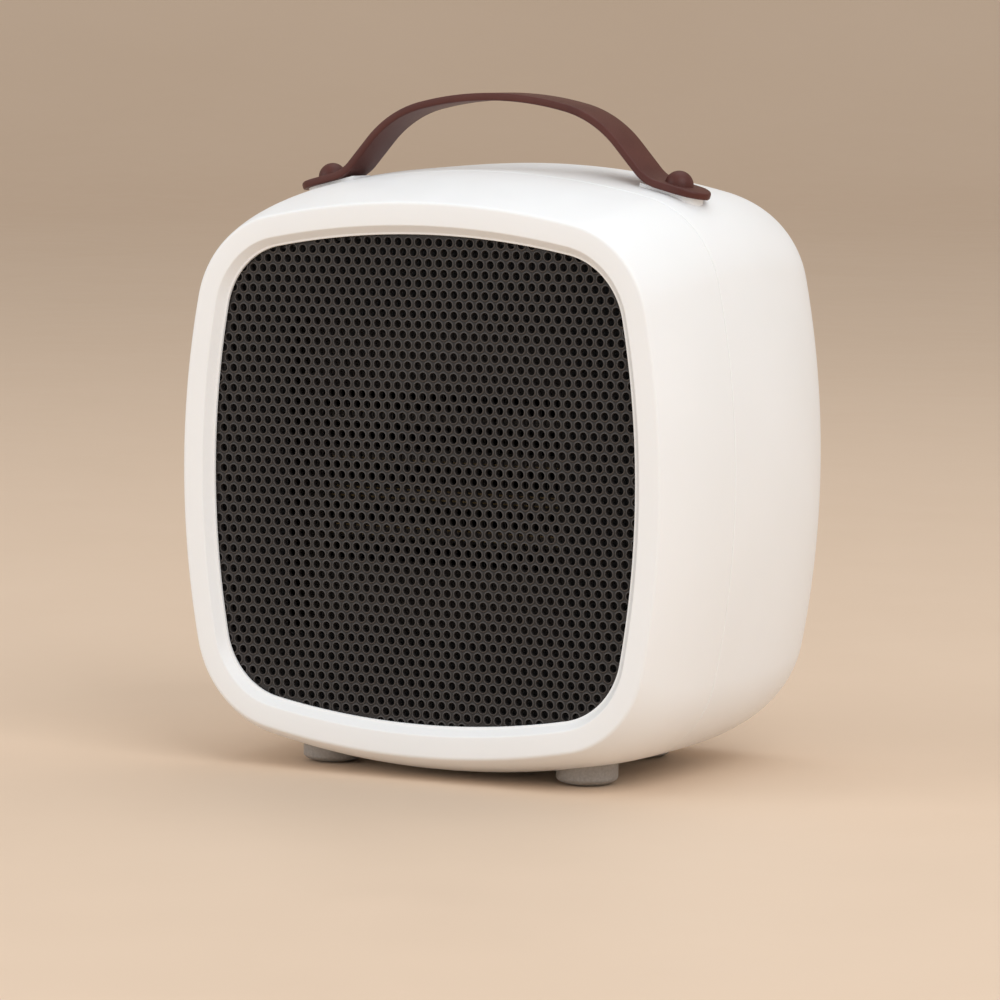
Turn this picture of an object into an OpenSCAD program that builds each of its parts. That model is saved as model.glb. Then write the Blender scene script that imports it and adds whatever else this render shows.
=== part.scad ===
// Small ceramic space heater: a rounded-cube body on rubber feet, with a perforated outlet grille
// in front, a carrying strap on top, and a fan and a PTC heating element inside.
// +Z is up, the front faces -Y, and the origin is on the ground under the middle of the body.

/* [Body] */
// Greatest width of the body
body_w = 190; // [186:1:196]
// Greatest height of the body, without feet and strap
body_h = 196.8; // [192:0.2:200]
// Depth from the front rim to the back
body_d = 122; // [120:1:130]
// Width and height of the flat front rim
front_size = 177.6; // [174:0.2:179]
// How far the middle of the front rim lies below the middle of the body
front_drop = 2.3; // [0:0.1:3]
// Height of the belly above the ground
belly_gap = 0.8; // [0.6:0.1:2]
// Wall of the two shells
wall = 2.4; // [2:0.1:3]
// Depth of the front shell, from the rim to the seam
front_shell_d = 39; // [37:1:41]
// Radius of the bowed sides, seen from the front
side_bow_r = 285; // [260:5:320]
// Radius of the corners, seen from the front
corner_r = 34; // [32:1:37]

/* [Front grille] */
// Width and height of the outlet opening
outlet_size = 157; // [152:1:159]
// Distance between neighbouring holes
hole_pitch = 3.8; // [3.8:0.1:6]
// Diameter of each hole
hole_d = 2.3; // [1.8:0.1:2.6]
// Each drawn hole stands for this many real holes squared, to keep the model light
hole_merge = 2; // [2, 3]
// How far the grille lies behind the front rim
grille_depth = 3.6; // [3:0.1:4]
// Thickness of the grille
grille_t = 1.6; // [1.2:0.1:1.8]

/* [Handle] */
// Width of the carrying strap
strap_w = 15.6; // [13:0.1:18]
// Thickness of the carrying strap
strap_t = 2.5; // [2:0.1:3]
// Height of the strap's crown above the ground
strap_top = 220; // [218:1:230]
// Distance of each rivet from the middle
rivet_x = 65; // [64:0.5:66]
// Diameter of a rivet's domed head
rivet_d = 9.4; // [8:0.1:11]

/* [Feet] */
// Diameter of a foot
foot_d = 20; // [16:0.1:21]
// Distance of each front foot from the middle, sideways
foot_x = 48; // [44:0.5:52]
// Distance of each rear foot from the middle, sideways
rear_foot_x = 33; // [30:0.5:42]

/* [Fan and heater] */
// Diameter of the fan
fan_d = 96; // [90:1:98]
// Number of fan blades
fan_blades = 7; // [5:1:9]
// Width of the heating core
core_w = 92; // [80:1:96]
// Rows of ceramic stones in the core
stone_rows = 4; // [3:1:5]

/* [Hidden] */

front_y = -body_d / 2;
back_y = body_d / 2;
seam_y = front_y + front_shell_d;
mid_z = belly_gap + body_h / 2;
front_z = mid_z - front_drop;
front_half = front_size / 2;

// The body swells over this depth behind the rim: fastest at the belly, slowest at the top.
swell_d = 76;
belly_power = 7;
side_power = 5.5;
top_power = 2.05;
// Towards the back it tucks in along a superellipse.
tuck_d = 70;
tuck = 17.7;
tuck_power = 2.35;
// The corners tighten by this share of the tuck.
corner_tuck = 0.6;

// Points on one quarter of an outline: on half a bowed side, and on half a corner.
side_steps = 4;
corner_steps = 4;

function clamp01(v) = min(1, max(0, v));
function swell(y, power) = 1 - pow(1 - clamp01((y - front_y) / swell_d), power);
function tuck_at(y) =
    let (s = clamp01((y - back_y + tuck_d) / tuck_d))
    tuck * (1 - pow(1 - pow(s, tuck_power), 1 / tuck_power));
function half_w(y) = front_half + (body_w / 2 - front_half) * swell(y, side_power) - tuck_at(y);
function top_z(y) =
    let (z = front_z + front_half)
    z + (belly_gap + body_h - z) * swell(y, top_power) - tuck_at(y);
function bottom_z(y) =
    let (z = front_z - front_half)
    z + (belly_gap - z) * swell(y, belly_power) + tuck_at(y);

// Centre distance, on the diagonal, of the corner arc of a square outline with bowed sides:
// half size a, side radius big, corner radius small, all tangent.
function corner_c(a, big, small) =
    let (b = big - a, reach = big - small)
    (-2 * b + sqrt(4 * b * b - 8 * (b * b - reach * reach))) / 4;

// One eighth of such an outline, from the middle of the right side to the diagonal.
function eighth(a, big, small) =
    let (
        c = corner_c(a, big, small),
        turn = atan2(c, c - a + big)
    )
    concat(
        [for (i = [0:side_steps - 1]) let (w = turn * i / side_steps)
            [a - big + big * cos(w), big * sin(w)]],
        [for (i = [0:corner_steps]) let (w = turn + (45 - turn) * i / corner_steps)
            [c + small * cos(w), c + small * sin(w)]]
    );

// The whole outline, anticlockwise, as [x, z] points about its own middle.
function outline(a, big, small) =
    let (
        e = eighth(a, big, small),
        n = len(e),
        quarter = concat(e, [for (i = [n - 2:-1:1]) [e[i][1], e[i][0]]])
    )
    [for (q = [0:3]) for (p = quarter) [
        p[0] * cos(90 * q) - p[1] * sin(90 * q),
        p[0] * sin(90 * q) + p[1] * cos(90 * q)
    ]];

// Height of the casing's underside at a point, between its corners.
function belly_z(x, y) = bottom_z(y) + side_bow_r - sqrt(pow(side_bow_r, 2) - x * x);

// How far the top is dipped at a point, seen from above.
function bump(v) = pow(1 - v * v, 2);
function dip_at(x, y) =
    let (u = x / dip_half_l, v = (y - dip_y) / dip_half_w)
    abs(u) < 1 && abs(v) < 1 ? dip * bump(u) * bump(v) : 0;

// A ring of the body's skin at depth y, or of a surface that lies inset inside the skin.
function body_ring(y, inset = 0) =
    let (
        skin_y = min(back_y, y + inset),
        a = half_w(skin_y) - inset,
        top = top_z(skin_y) - inset,
        bottom = bottom_z(skin_y) + inset,
        b = (top - bottom) / 2,
        shrink = tuck_at(skin_y)
    )
    [for (p = outline(a, side_bow_r - inset - shrink, corner_r - inset - corner_tuck * shrink))
        [p[0], y, p[1] * b / a + (top + bottom) / 2 - (p[1] > 0 ? dip_at(p[0], y) : 0)]];

// A flat ring of the front: half size a, at depth y.
function front_ring(y, a, big, small) =
    [for (p = outline(a, big, small)) [p[0], y, p[1] + front_z]];

// Fits and small shared sizes.
gap = 0.3;
screw_r = 1.25;
screw_hole_r = 1.45;
screw_head_r = 2.5;
screw_head_h = 1.6;

// Depths, front to back, of the pieces stacked behind the rim.
grille_y = front_y + grille_depth;
grille_back_y = grille_y + grille_t;
rim_back_y = front_y + 6.4;
frame_back_y = rim_back_y + 2.5;
duct_back_y = -10;
shroud_end_y = 14;
bracket_back_y = shroud_end_y + 3;
motor_end_y = 44;

// The joint between the shells: a tongue on the front shell inside a thinned edge of the rear one.
tongue_l = 4;
tongue_inset = 1.3;
tongue_gap = 0.2;

// The opening and the rebate behind it that takes the grille's edge.
outlet_bow_r = 291;
outlet_corner_r = 24.4;
outlet_bevel = 3.6;
grille_lap = 2;

// Screws that hold the grille frame to the rim, as distances from the middle.
rim_screw_far = 83.2;
rim_screw_near = 38;

// Posts at the four corners that tie the shells together.
tie_at = 62;
tie_z = (front_z + mid_z) / 2;
tie_post_r = 5;
tie_meet_y = -6;
tie_seat_y = 8;
tie_well_r = 3.4;

duct_half = 60;
duct_corner_r = 20;
duct_wall = 1.6;
shroud_r = 50.5;
ear_at = 65.5;

fan_z = front_z;
fan_front_y = -6;
fan_back_y = 8;
hub_r = 15;
shaft_r = 1.6;
motor_r = 17;
bush_r = 4;

core_front_y = -44;
core_d = 14;
stone_t = 2.4;
electrode_t = 0.5;
fin_row_h = 9;
bar_h = stone_t + 2 * electrode_t;
core_h = (stone_rows + 1) * fin_row_h + stone_rows * bar_h;

intake_r = 53;
intake_z = mid_z + 8;
intake_screw_at = 57.5;

switch_z = 31;
switch_w = 21;
switch_h = 15;
gland_x = 46;
gland_z = 34;
cord_r = 3.6;

strap_y = -7;
strap_tip_x = rivet_x + 11;
strap_lean = 48;
strap_boss_h = 10;
washer_t = 1;
seat_tilt = 14;
strap_seat_z = mid_z + body_h / 2 - 8.3;

// A shallow dip in the top, under the strap.
dip = 2;
dip_y = 0;
dip_half_l = 52;
dip_half_w = 21;

foot_front_y = -32.9;
foot_rear_y = 30;
foot_seat_r = foot_d / 2 + 0.6;
foot_seat_t = 5.5;
foot_h = 9;
foot_sink = 1.6;
foot_flat_r = 4;
foot_dome_h = 2.4;

tip_x = 30;
tip_y = 12;
tip_travel = 4;
plunger_r = 3.8;
plunger_bottom_z = 0.3;
plunger_flange_z = plunger_bottom_z + 10.6;
plunger_flange_t = 1.4;
plunger_top_z = 26.5;
tip_lever_z = plunger_top_z + 0.1;
tip_lever_l = 8;
lever_pin_r = 0.7;
tip_seat_z = 9;
tip_seat_x = 9.9;
tip_bridge_z = 19.5;
guide_top_z = plunger_flange_z - tip_travel - 0.1;
flange_r = 5.8;

board_x = -48;
board_y = -6;
board_w = 52;
board_l = 40;
board_z = 18;
board_screw_places = [for (x = [4, board_w - 4]) for (y = [4, board_l - 4]) [board_x + x, board_y + y]];

// Places one child at each corner of a square of half size a, mirrored from the first.
module at_corners(a) {
    for (x = [-a, a]) for (z = [-a, a]) translate([x, 0, z]) children();
}

// A cylinder along +Y from depth y0 to y1.
module rod_y(r, y0, y1) {
    translate([0, y0, 0]) rotate([-90, 0, 0]) cylinder(r = r, h = y1 - y0, $fn = 48);
}

// A tube along +Y.
module tube_y(r, bore, y0, y1) {
    difference() {
        rod_y(r, y0, y1);
        rod_y(bore, y0 - 1, y1 + 1);
    }
}

// A plate in the XZ plane from depth y0 to y1, from 2D children drawn in x and z.
module plate_y(y0, y1) {
    translate([0, y1, 0]) rotate([90, 0, 0]) linear_extrude(y1 - y0) children();
}

// A pan-head screw along +Y: the head starts at depth y and the shank runs l forward, to -Y.
module screw_y(y, l) {
    rod_y(screw_head_r, y, y + screw_head_h);
    rod_y(screw_r, y - l, y + 0.01);
}

// Skins rings of equal length into a solid. With loop the last ring joins the first;
// otherwise both ends are capped.
module skin(rings, loop = false) {
    n = len(rings[0]);
    m = len(rings);
    walls = [for (j = [0:(loop ? m - 1 : m - 2)]) for (i = [0:n - 1])
        let (a = j * n, b = (j + 1) % m * n, k = (i + 1) % n)
        each [[a + i, b + i, b + k], [a + i, b + k, a + k]]];
    caps = loop ? [] : [
        [for (i = [0:n - 1]) n - 1 - i],
        [for (i = [0:n - 1]) (m - 1) * n + i]
    ];
    polyhedron([for (r = rings) each r], concat(walls, [for (c = caps) [for (i = [n - 1:-1:0]) c[i]]]));
}

white = [0.93, 0.92, 0.90];
charcoal = [0.14, 0.13, 0.13];
black = [0.08, 0.08, 0.08];
steel = [0.72, 0.73, 0.75];
alloy = [0.82, 0.83, 0.85];
brass = [0.78, 0.64, 0.32];
copper = [0.76, 0.45, 0.28];
brown = [0.36, 0.22, 0.19];
board_green = [0.13, 0.35, 0.22];
translucent_grey = [0.62, 0.60, 0.57];

// Where the grille frame is screwed to the rim.
module at_rim_screws() {
    for (s = [-1, 1]) for (t = [-1, 1]) {
        translate([s * rim_screw_far, 0, front_z + t * rim_screw_near]) children();
        translate([t * rim_screw_near, 0, front_z + s * rim_screw_far]) children();
    }
}

// The front casing: flat rim, bevel down to the grille, rebate behind it, and the swelling skin.
module front_shell() {
    rebate = outlet_size / 2 + grille_lap + gap;
    color(white)
    difference() {
        union() {
            skin(concat(
                [front_ring(front_y, outlet_size / 2 + outlet_bevel, outlet_bow_r, outlet_corner_r + 3),
                 front_ring(grille_y, outlet_size / 2, outlet_bow_r, outlet_corner_r),
                 front_ring(grille_y, rebate, outlet_bow_r, outlet_corner_r + 2),
                 front_ring(rim_back_y, rebate, outlet_bow_r, outlet_corner_r + 2)],
                [for (y = [rim_back_y, rim_back_y + 14, seam_y, seam_y + tongue_l]) body_ring(y, wall)],
                [body_ring(seam_y + tongue_l, tongue_inset), body_ring(seam_y, tongue_inset)],
                [for (t = [1, 0.72, 0.5, 0.34, 0.2, 0.1, 0.04, 0]) body_ring(front_y + t * front_shell_d)]
            ), loop = true);
            foot_seats(foot_x, foot_front_y);
        }
        at_rim_screws() rod_y(screw_r + 0.02, front_y + 1.5, rim_back_y + 1);
        foot_sockets(foot_x, foot_front_y);
    }
}

// Flat seats under the belly for one pair of feet, and the shallow sockets the feet sit in.
module foot_seats(x, y) {
    for (s = [-1, 1]) translate([s * x, y, foot_h - foot_sink])
        cylinder(r = foot_seat_r, h = foot_seat_t, $fn = 48);
}
module foot_sockets(x, y) {
    for (s = [-1, 1]) translate([s * x, y, foot_dome_h])
        cylinder(d = foot_d + 0.1, h = foot_h - foot_dome_h, $fn = 48);
}

// The rear casing, with the intake opening, tie posts, strap seats, and the holes for the
// switch, the cord gland and the tip-over plunger.
module rear_shell() {
    steps = 9;
    outer_y = [for (i = [0:steps]) seam_y + (back_y - seam_y) * sin(90 * i / steps)];
    edge = tongue_inset - tongue_gap;
    step_y = seam_y + tongue_l + gap;
    color(white)
    difference() {
        union() {
            skin(concat(
                [for (i = [steps:-1:0]) body_ring(outer_y[i])],
                [body_ring(seam_y, edge), body_ring(step_y, edge), body_ring(step_y, wall)],
                [for (i = [2:steps]) body_ring(min(outer_y[i], back_y - wall), wall)]
            ));
            translate([0, 0, tie_z]) at_corners(tie_at) rod_y(tie_post_r, tie_meet_y, back_y - 1);
            strap_seats();
            foot_seats(rear_foot_x, foot_rear_y);
            tip_seats();
            for (p = board_screw_places) belly_post(p[0], p[1], board_z);
            translate([0, 0, intake_z]) intake_screw_places() rod_y(3.2, back_y - 9, back_y - 1);
        }
        translate([0, 0, intake_z]) {
            rod_y(intake_r, back_y - 8, back_y + 1);
            rod_y(intake_screw_at + 3.5, back_y - 1.6, back_y + 1);
            intake_screw_places() rod_y(screw_r + 0.02, back_y - 8, back_y + 1);
        }
        translate([0, 0, tie_z]) at_corners(tie_at) {
            rod_y(tie_well_r, tie_seat_y, back_y + 1);
            rod_y(screw_hole_r, tie_meet_y - 1, tie_seat_y + 1);
        }
        translate([-switch_w / 2, back_y - 9, switch_z - switch_h / 2]) cube([switch_w, 10, switch_h]);
        translate([-switch_w / 2 - 2, back_y - 1, switch_z - switch_h / 2 - 2])
            cube([switch_w + 4, 2, switch_h + 4]);
        translate([gland_x, 0, gland_z]) {
            rod_y(6, back_y - 9, back_y + 1);
            rod_y(9.2, back_y - 1.2, back_y + 1);
        }
        at_strap_seats() {
            linear_extrude(8) strap_end_outline(0.5);
            translate([0, 0, -20]) cylinder(r = screw_hole_r, h = 30, $fn = 32);
        }
        at_board_screws() translate([0, 0, board_z - 7]) cylinder(r = screw_r + 0.02, h = 8, $fn = 32);
        translate([tip_x, tip_y, -1]) cylinder(r = plunger_r + 0.1, h = 20, $fn = 32);
        translate([tip_x, tip_y, guide_top_z]) cylinder(r = flange_r + 0.3, h = 10, $fn = 48);
        foot_sockets(rear_foot_x, foot_rear_y);
    }
}

// A round post that stands on the inside of the belly and reaches up to height top.
module belly_post(x, y, top, r = 3) {
    z = belly_z(x, y) + wall * 0.6;
    translate([x, y, z]) cylinder(r = r, h = top - z, $fn = 32);
}

// The guide that the tip-over plunger slides in, and the blocks its bridge is fixed to.
module tip_seats() {
    guide_z = 3;
    translate([tip_x, tip_y, guide_z]) cylinder(r = plunger_r + 2.4, h = guide_top_z - guide_z, $fn = 32);
    for (s = [-1, 1]) let (x = tip_x + s * tip_seat_x, z = belly_z(x, tip_y + 6) + wall / 2)
        translate([x - 2.5, tip_y - 6, z]) cube([5, 12, tip_seat_z - z]);
}

module intake_screw_places() {
    for (k = [0:2]) rotate([0, 120 * k + 60, 0]) translate([0, 0, intake_screw_at]) children();
}

// Outline of a strap end about its rivet, with a round tip.
module strap_end_outline(margin) {
    w = strap_w + 2 * margin;
    tip = (strap_tip_x - rivet_x) / cos(seat_tilt) + margin - w / 2;
    union() {
        translate([-11, -w / 2]) square([tip + 11, w]);
        translate([tip, 0]) circle(d = w, $fn = 48);
    }
}

// Flat seats on the shoulders of the rear casing that the strap's ends lie on, with bosses inside.
module strap_seats() {
    at_strap_seats() {
        translate([0, 0, -5]) linear_extrude(5) strap_end_outline(-0.6);
        translate([0, 0, -strap_boss_h]) cylinder(r = 5, h = strap_boss_h - 1, $fn = 32);
    }
}

// The perforated grille: rows of holes, every other row shifted by half a pitch.
module front_grille() {
    pitch = hole_pitch * hole_merge;
    d = hole_d * hole_merge;
    row = pitch * sqrt(3) / 2;
    n = ceil(outlet_size / row / 2);
    color(charcoal)
    translate([0, 0, front_z])
    plate_y(grille_y, grille_back_y)
    difference() {
        polygon(outline(outlet_size / 2 + grille_lap, outlet_bow_r, outlet_corner_r + 1.6));
        for (j = [-n:n]) for (i = [-n:n])
            let (x = (i + (j % 2 == 0 ? 0 : 0.5)) * pitch, z = j * row)
            if (in_outlet(x, z, d / 2 + 0.6)) translate([x, z]) circle(d = d, $fn = 24);
    }
}

// Whether a point lies inside the outlet by at least margin: inside its bowed sides and corners.
function in_outlet(x, z, margin) =
    let (
        a = outlet_size / 2 - margin,
        big = outlet_bow_r - margin,
        small = outlet_corner_r - margin,
        c = corner_c(a, big, small),
        u = max(abs(x), abs(z)),
        v = min(abs(x), abs(z))
    )
    norm([u - a + big, v]) < big && (v < c || u < c || norm([u - c, v - c]) < small);

// The black frame behind the grille: it clamps the grille's edge, carries the heater duct,
// and has the front halves of the tie posts.
module grille_frame() {
    color(black)
    difference() {
        union() {
            translate([0, 0, front_z]) {
                plate_y(rim_back_y, frame_back_y) difference() {
                    polygon(outline(front_half - 2.6, outlet_bow_r, corner_r - 1));
                    square(2 * duct_half - 16, center = true);
                }
                plate_y(grille_back_y, rim_back_y) difference() {
                    polygon(outline(outlet_size / 2 + grille_lap, outlet_bow_r, outlet_corner_r + 1.6));
                    polygon(outline(outlet_size / 2 - 1, outlet_bow_r, outlet_corner_r - 1));
                }
            }
            translate([0, 0, tie_z]) at_corners(tie_at) rod_y(tie_post_r - 0.6, frame_back_y - 1, tie_meet_y);
        }
        at_rim_screws() rod_y(screw_hole_r, rim_back_y - 1, frame_back_y + 1);
        translate([0, 0, tie_z]) at_corners(tie_at) rod_y(screw_r + 0.02, tie_meet_y - 16, tie_meet_y + 1);
        translate([0, 0, front_z]) at_ears() rod_y(screw_r + 0.02, rim_back_y + 0.8, frame_back_y + 1);
    }
}

module grille_screws() {
    color(steel) at_rim_screws() screw_y(frame_back_y, frame_back_y - front_y - 2);
}

module tie_screws() {
    bite = 14;
    color(steel) translate([0, 0, tie_z]) at_corners(tie_at)
        screw_y(tie_seat_y, tie_seat_y - tie_meet_y + bite);
}

// The duct's four screw ears, in the middle of its sides.
module at_ears() {
    for (k = [0:3]) rotate([0, 90 * k, 0]) translate([0, 0, ear_at]) children();
}

module rounded_square(a, r) {
    union() {
        square([2 * a, 2 * (a - r)], center = true);
        square([2 * (a - r), 2 * a], center = true);
        for (x = [r - a, a - r]) for (z = [r - a, a - r]) translate([x, z]) circle(r = r, $fn = 48);
    }
}

// The air duct: a square box round the heating core, closed behind by a plate with the fan's shroud.
module air_duct() {
    inner = duct_half - duct_wall;
    color([0.30, 0.30, 0.31])
    translate([0, 0, fan_z])
    difference() {
        union() {
            plate_y(frame_back_y, duct_back_y) difference() {
                rounded_square(duct_half, duct_corner_r);
                rounded_square(inner, duct_corner_r - duct_wall);
            }
            plate_y(duct_back_y - duct_wall, duct_back_y) difference() {
                rounded_square(duct_half - 0.5, duct_corner_r);
                circle(r = shroud_r, $fn = 96);
            }
            plate_y(duct_back_y - duct_wall, shroud_end_y) difference() {
                circle(r = shroud_r + duct_wall, $fn = 96);
                circle(r = shroud_r, $fn = 96);
            }
            for (k = [0:3]) rotate([0, 90 * k, 0]) {
                translate([-6, frame_back_y, duct_half - 1]) cube([12, 2.4, ear_at - duct_half + 5]);
                translate([-5, core_front_y + gap, inner - 1.8]) cube([10, 12, 2]);
                rotate([0, 45, 0]) translate([0, 0, shroud_r + duct_wall + 2])
                    rod_y(3.6, shroud_end_y - 9, shroud_end_y);
            }
        }
        at_ears() rod_y(screw_hole_r, frame_back_y - 1, frame_back_y + 3);
        at_shroud_bosses() rod_y(screw_r + 0.02, shroud_end_y - 8, shroud_end_y + 1);
    }
}

// The four bosses round the fan's shroud.
module at_shroud_bosses() {
    for (k = [0:3]) rotate([0, 90 * k + 45, 0]) translate([0, 0, shroud_r + duct_wall + 2]) children();
}

module duct_screws() {
    color(steel) translate([0, 0, front_z]) at_ears() screw_y(frame_back_y + 2.4, 3.9);
}

// The frame that holds the heating core across the duct: a windowed plate with a skirt.
module heater_frame() {
    outer = duct_half - duct_wall - 0.3;
    skirt = 1.5;
    color([0.20, 0.17, 0.14])
    translate([0, 0, fan_z]) {
        plate_y(core_front_y - 2, core_front_y) difference() {
            rounded_square(outer, duct_corner_r - duct_wall);
            square([core_w - 4, core_h - 3], center = true);
        }
        plate_y(frame_back_y, core_front_y - 2) difference() {
            rounded_square(outer, duct_corner_r - duct_wall);
            rounded_square(outer - skirt, duct_corner_r - duct_wall - skirt);
        }
    }
}

// The two insulating end blocks that grip the core.
module heater_holders() {
    color([0.24, 0.15, 0.10])
    translate([0, 0, fan_z])
    for (s = [0, 1]) mirror([s, 0, 0]) {
        plate_y(core_front_y, core_front_y + core_d + 1.5) translate([core_w / 2 + 0.05, -core_h / 2 - 2])
            square([8, core_h + 4]);
        plate_y(core_front_y + core_d + 0.1, core_front_y + core_d + 1.5)
            translate([core_w / 2 - 3, -core_h / 2 - 2]) square([4, core_h + 4]);
    }
}

// The height of the middle of each stone row above the core's middle.
function bar_z(k) = (k - (stone_rows - 1) / 2) * (fin_row_h + bar_h);

// The ceramic stones, in rows.
module ptc_stones() {
    count = 7;
    pitch = (core_w - 4) / count;
    color([0.80, 0.78, 0.72])
    translate([0, core_front_y + 1, fan_z])
    for (k = [0:stone_rows - 1]) for (i = [0:count - 1])
        translate([(i - (count - 1) / 2) * pitch - (pitch - 1) / 2, 0, bar_z(k) - stone_t / 2])
            cube([pitch - 1, core_d - 2, stone_t]);
}

// The electrode strips above and below each row of stones, with tabs that reach back.
module ptc_electrodes() {
    color(brass)
    translate([0, core_front_y + 1, fan_z])
    for (k = [0:stone_rows - 1]) for (s = [-1, 1])
        translate([0, 0, bar_z(k) + s * (stone_t + electrode_t) / 2 - electrode_t / 2]) {
            translate([-core_w / 2 + 1, 0, 0]) cube([core_w - 2, core_d - 2, electrode_t]);
            translate([core_w / 2 - 12 - s * 3, core_d - 3, 0]) cube([5, 8, electrode_t]);
        }
}

// One row of cooling fins: a comb of thin slats between two plates.
module fin_row(h) {
    slats = 34;
    pitch = (core_w - 4) / slats;
    difference() {
        square([core_w - 2, h - 0.02], center = true);
        for (i = [0:slats - 1]) translate([(i - (slats - 1) / 2) * pitch, 0])
            square([pitch - 0.6, h - 1.6], center = true);
    }
}

module heater_fins() {
    color(alloy)
    translate([0, 0, fan_z])
    for (k = [0:stone_rows])
        plate_y(core_front_y + 0.5, core_front_y + core_d - 0.5)
            translate([0, bar_z(k) - (fin_row_h + bar_h) / 2]) fin_row(fin_row_h);
}

// The bimetal cut-out on top of the duct, and the one-shot fuse beside it.
module thermostat() {
    z = fan_z + duct_half;
    color([0.55, 0.32, 0.20])
    translate([14, -26, z]) {
        cylinder(r = 8, h = 4.5, $fn = 48);
        cylinder(r = 5, h = 6.5, $fn = 48);
        for (s = [-1, 1]) translate([s * 7 - 2.5, -0.4, 3]) cube([5, 0.8, 7]);
    }
}

module thermal_fuse() {
    z = fan_z + duct_half;
    color(alloy)
    translate([-16, -26, z]) {
        translate([-7, 0, 2.1]) rotate([0, 90, 0]) cylinder(r = 2, h = 14, $fn = 32);
        translate([-3, -2.6, 0]) cube([6, 5.2, 0.9]);
    }
}

// The axial fan: a hub with tilted blades.
module fan() {
    pitch_angle = 34;
    color([0.22, 0.22, 0.23])
    translate([0, 0, fan_z])
    difference() {
        union() {
            rod_y(hub_r, fan_front_y, fan_back_y);
            intersection() {
                tube_y(fan_d / 2, hub_r - 1, fan_front_y, fan_back_y);
                for (k = [0:fan_blades - 1]) rotate([0, 360 * k / fan_blades, 0])
                    translate([0, (fan_front_y + fan_back_y) / 2, 0]) rotate([0, 0, pitch_angle])
                    translate([-15, -0.8, 0]) cube([30, 1.6, fan_d]);
            }
        }
        rod_y(shaft_r, fan_front_y - 1, fan_back_y + 1);
        rod_y(hub_r - 2, fan_back_y - 5, fan_back_y + 1);
    }
}

module fan_clip() {
    color(steel) translate([0, 0, fan_z]) tube_y(4, shaft_r, fan_front_y - 1.5, fan_front_y);
}

module motor_shaft() {
    color(steel) translate([0, 0, fan_z]) rod_y(shaft_r, fan_front_y - 3, motor_end_y + 1);
}

// The slotted iron core of the rotor.
module armature() {
    color([0.45, 0.40, 0.38])
    translate([0, 0, fan_z])
    difference() {
        tube_y(12.4, shaft_r, 24, 37);
        for (k = [0:4]) rotate([0, 72 * k, 0]) translate([-1.5, 23, 8]) cube([3, 15, 6]);
    }
}

module commutator() {
    color(copper) translate([0, 0, fan_z]) tube_y(4, shaft_r, 37, 39.8);
}

module motor_can() {
    color(steel)
    translate([0, 0, fan_z])
    difference() {
        rod_y(motor_r, bracket_back_y, motor_end_y - 2);
        rod_y(motor_r - 1, bracket_back_y + 1.2, motor_end_y - 1);
        rod_y(bush_r + 0.02, bracket_back_y - 1, bracket_back_y + 2);
        at_motor_screws() rod_y(screw_r + 0.02, bracket_back_y - 1, bracket_back_y + 2);
    }
}

module motor_cap() {
    color(black)
    translate([0, 0, fan_z])
    difference() {
        union() {
            rod_y(motor_r, motor_end_y - 2, motor_end_y);
            tube_y(motor_r - 1.05, motor_r - 3, motor_end_y - 4, motor_end_y - 1.9);
        }
        rod_y(bush_r + 0.02, motor_end_y - 5, motor_end_y + 1);
    }
}

module motor_bushes() {
    color(brass) translate([0, 0, fan_z]) {
        tube_y(bush_r, shaft_r + 0.04, bracket_back_y, bracket_back_y + 3.5);
        tube_y(bush_r, shaft_r + 0.04, motor_end_y - 3, motor_end_y);
    }
}

// Two curved magnets inside the can.
module motor_magnets() {
    color([0.25, 0.25, 0.27])
    translate([0, 0, fan_z])
    difference() {
        tube_y(motor_r - 1.05, 13.2, 22, 38);
        for (s = [-1, 1]) translate([-5, 21, s * 15 - 5]) cube([10, 18, 10]);
    }
}

module motor_brushes() {
    color([0.3, 0.25, 0.22])
    translate([0, 0, fan_z])
    for (s = [0, 1]) mirror([s, 0, 0]) translate([4.1, 37.4, -1.5]) cube([8, 2, 3]);
}

// The spider that holds the motor across the back of the shroud.
module motor_bracket() {
    outer = shroud_r + duct_wall;
    color([0.30, 0.30, 0.31])
    translate([0, 0, fan_z])
    difference() {
        union() {
            plate_y(shroud_end_y, bracket_back_y) union() {
                difference() {
                    circle(r = outer, $fn = 96);
                    circle(r = outer - 3, $fn = 96);
                }
                circle(r = motor_r + 2, $fn = 64);
                for (k = [0:3]) rotate(90 * k + 45) translate([-3, motor_r]) square([6, outer + 2 - motor_r]);
                for (k = [0:3]) rotate(90 * k + 45) translate([0, outer + 2]) circle(r = 3.6, $fn = 32);
            }
        }
        rod_y(6, shroud_end_y - 1, bracket_back_y + 1);
        at_shroud_bosses() rod_y(screw_hole_r, shroud_end_y - 1, bracket_back_y + 1);
        at_motor_screws() {
            rod_y(screw_hole_r, shroud_end_y - 1, bracket_back_y + 1);
            rod_y(screw_head_r + 0.1, shroud_end_y - 1, shroud_end_y + 1.4);
        }
    }
}

module bracket_screws() {
    color(steel) translate([0, 0, fan_z]) at_shroud_bosses() screw_y(bracket_back_y, 10);
}

// The motor's own two screws, driven from the front of the bracket.
module at_motor_screws() {
    for (s = [-1, 1]) translate([s * 10, 0, 0]) children();
}

module motor_screws() {
    color(steel) translate([0, 0, fan_z]) at_motor_screws() {
        rod_y(screw_head_r, shroud_end_y + 0.2, shroud_end_y + 1.4);
        rod_y(screw_r, shroud_end_y + 1, bracket_back_y + 3);
    }
}

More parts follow.
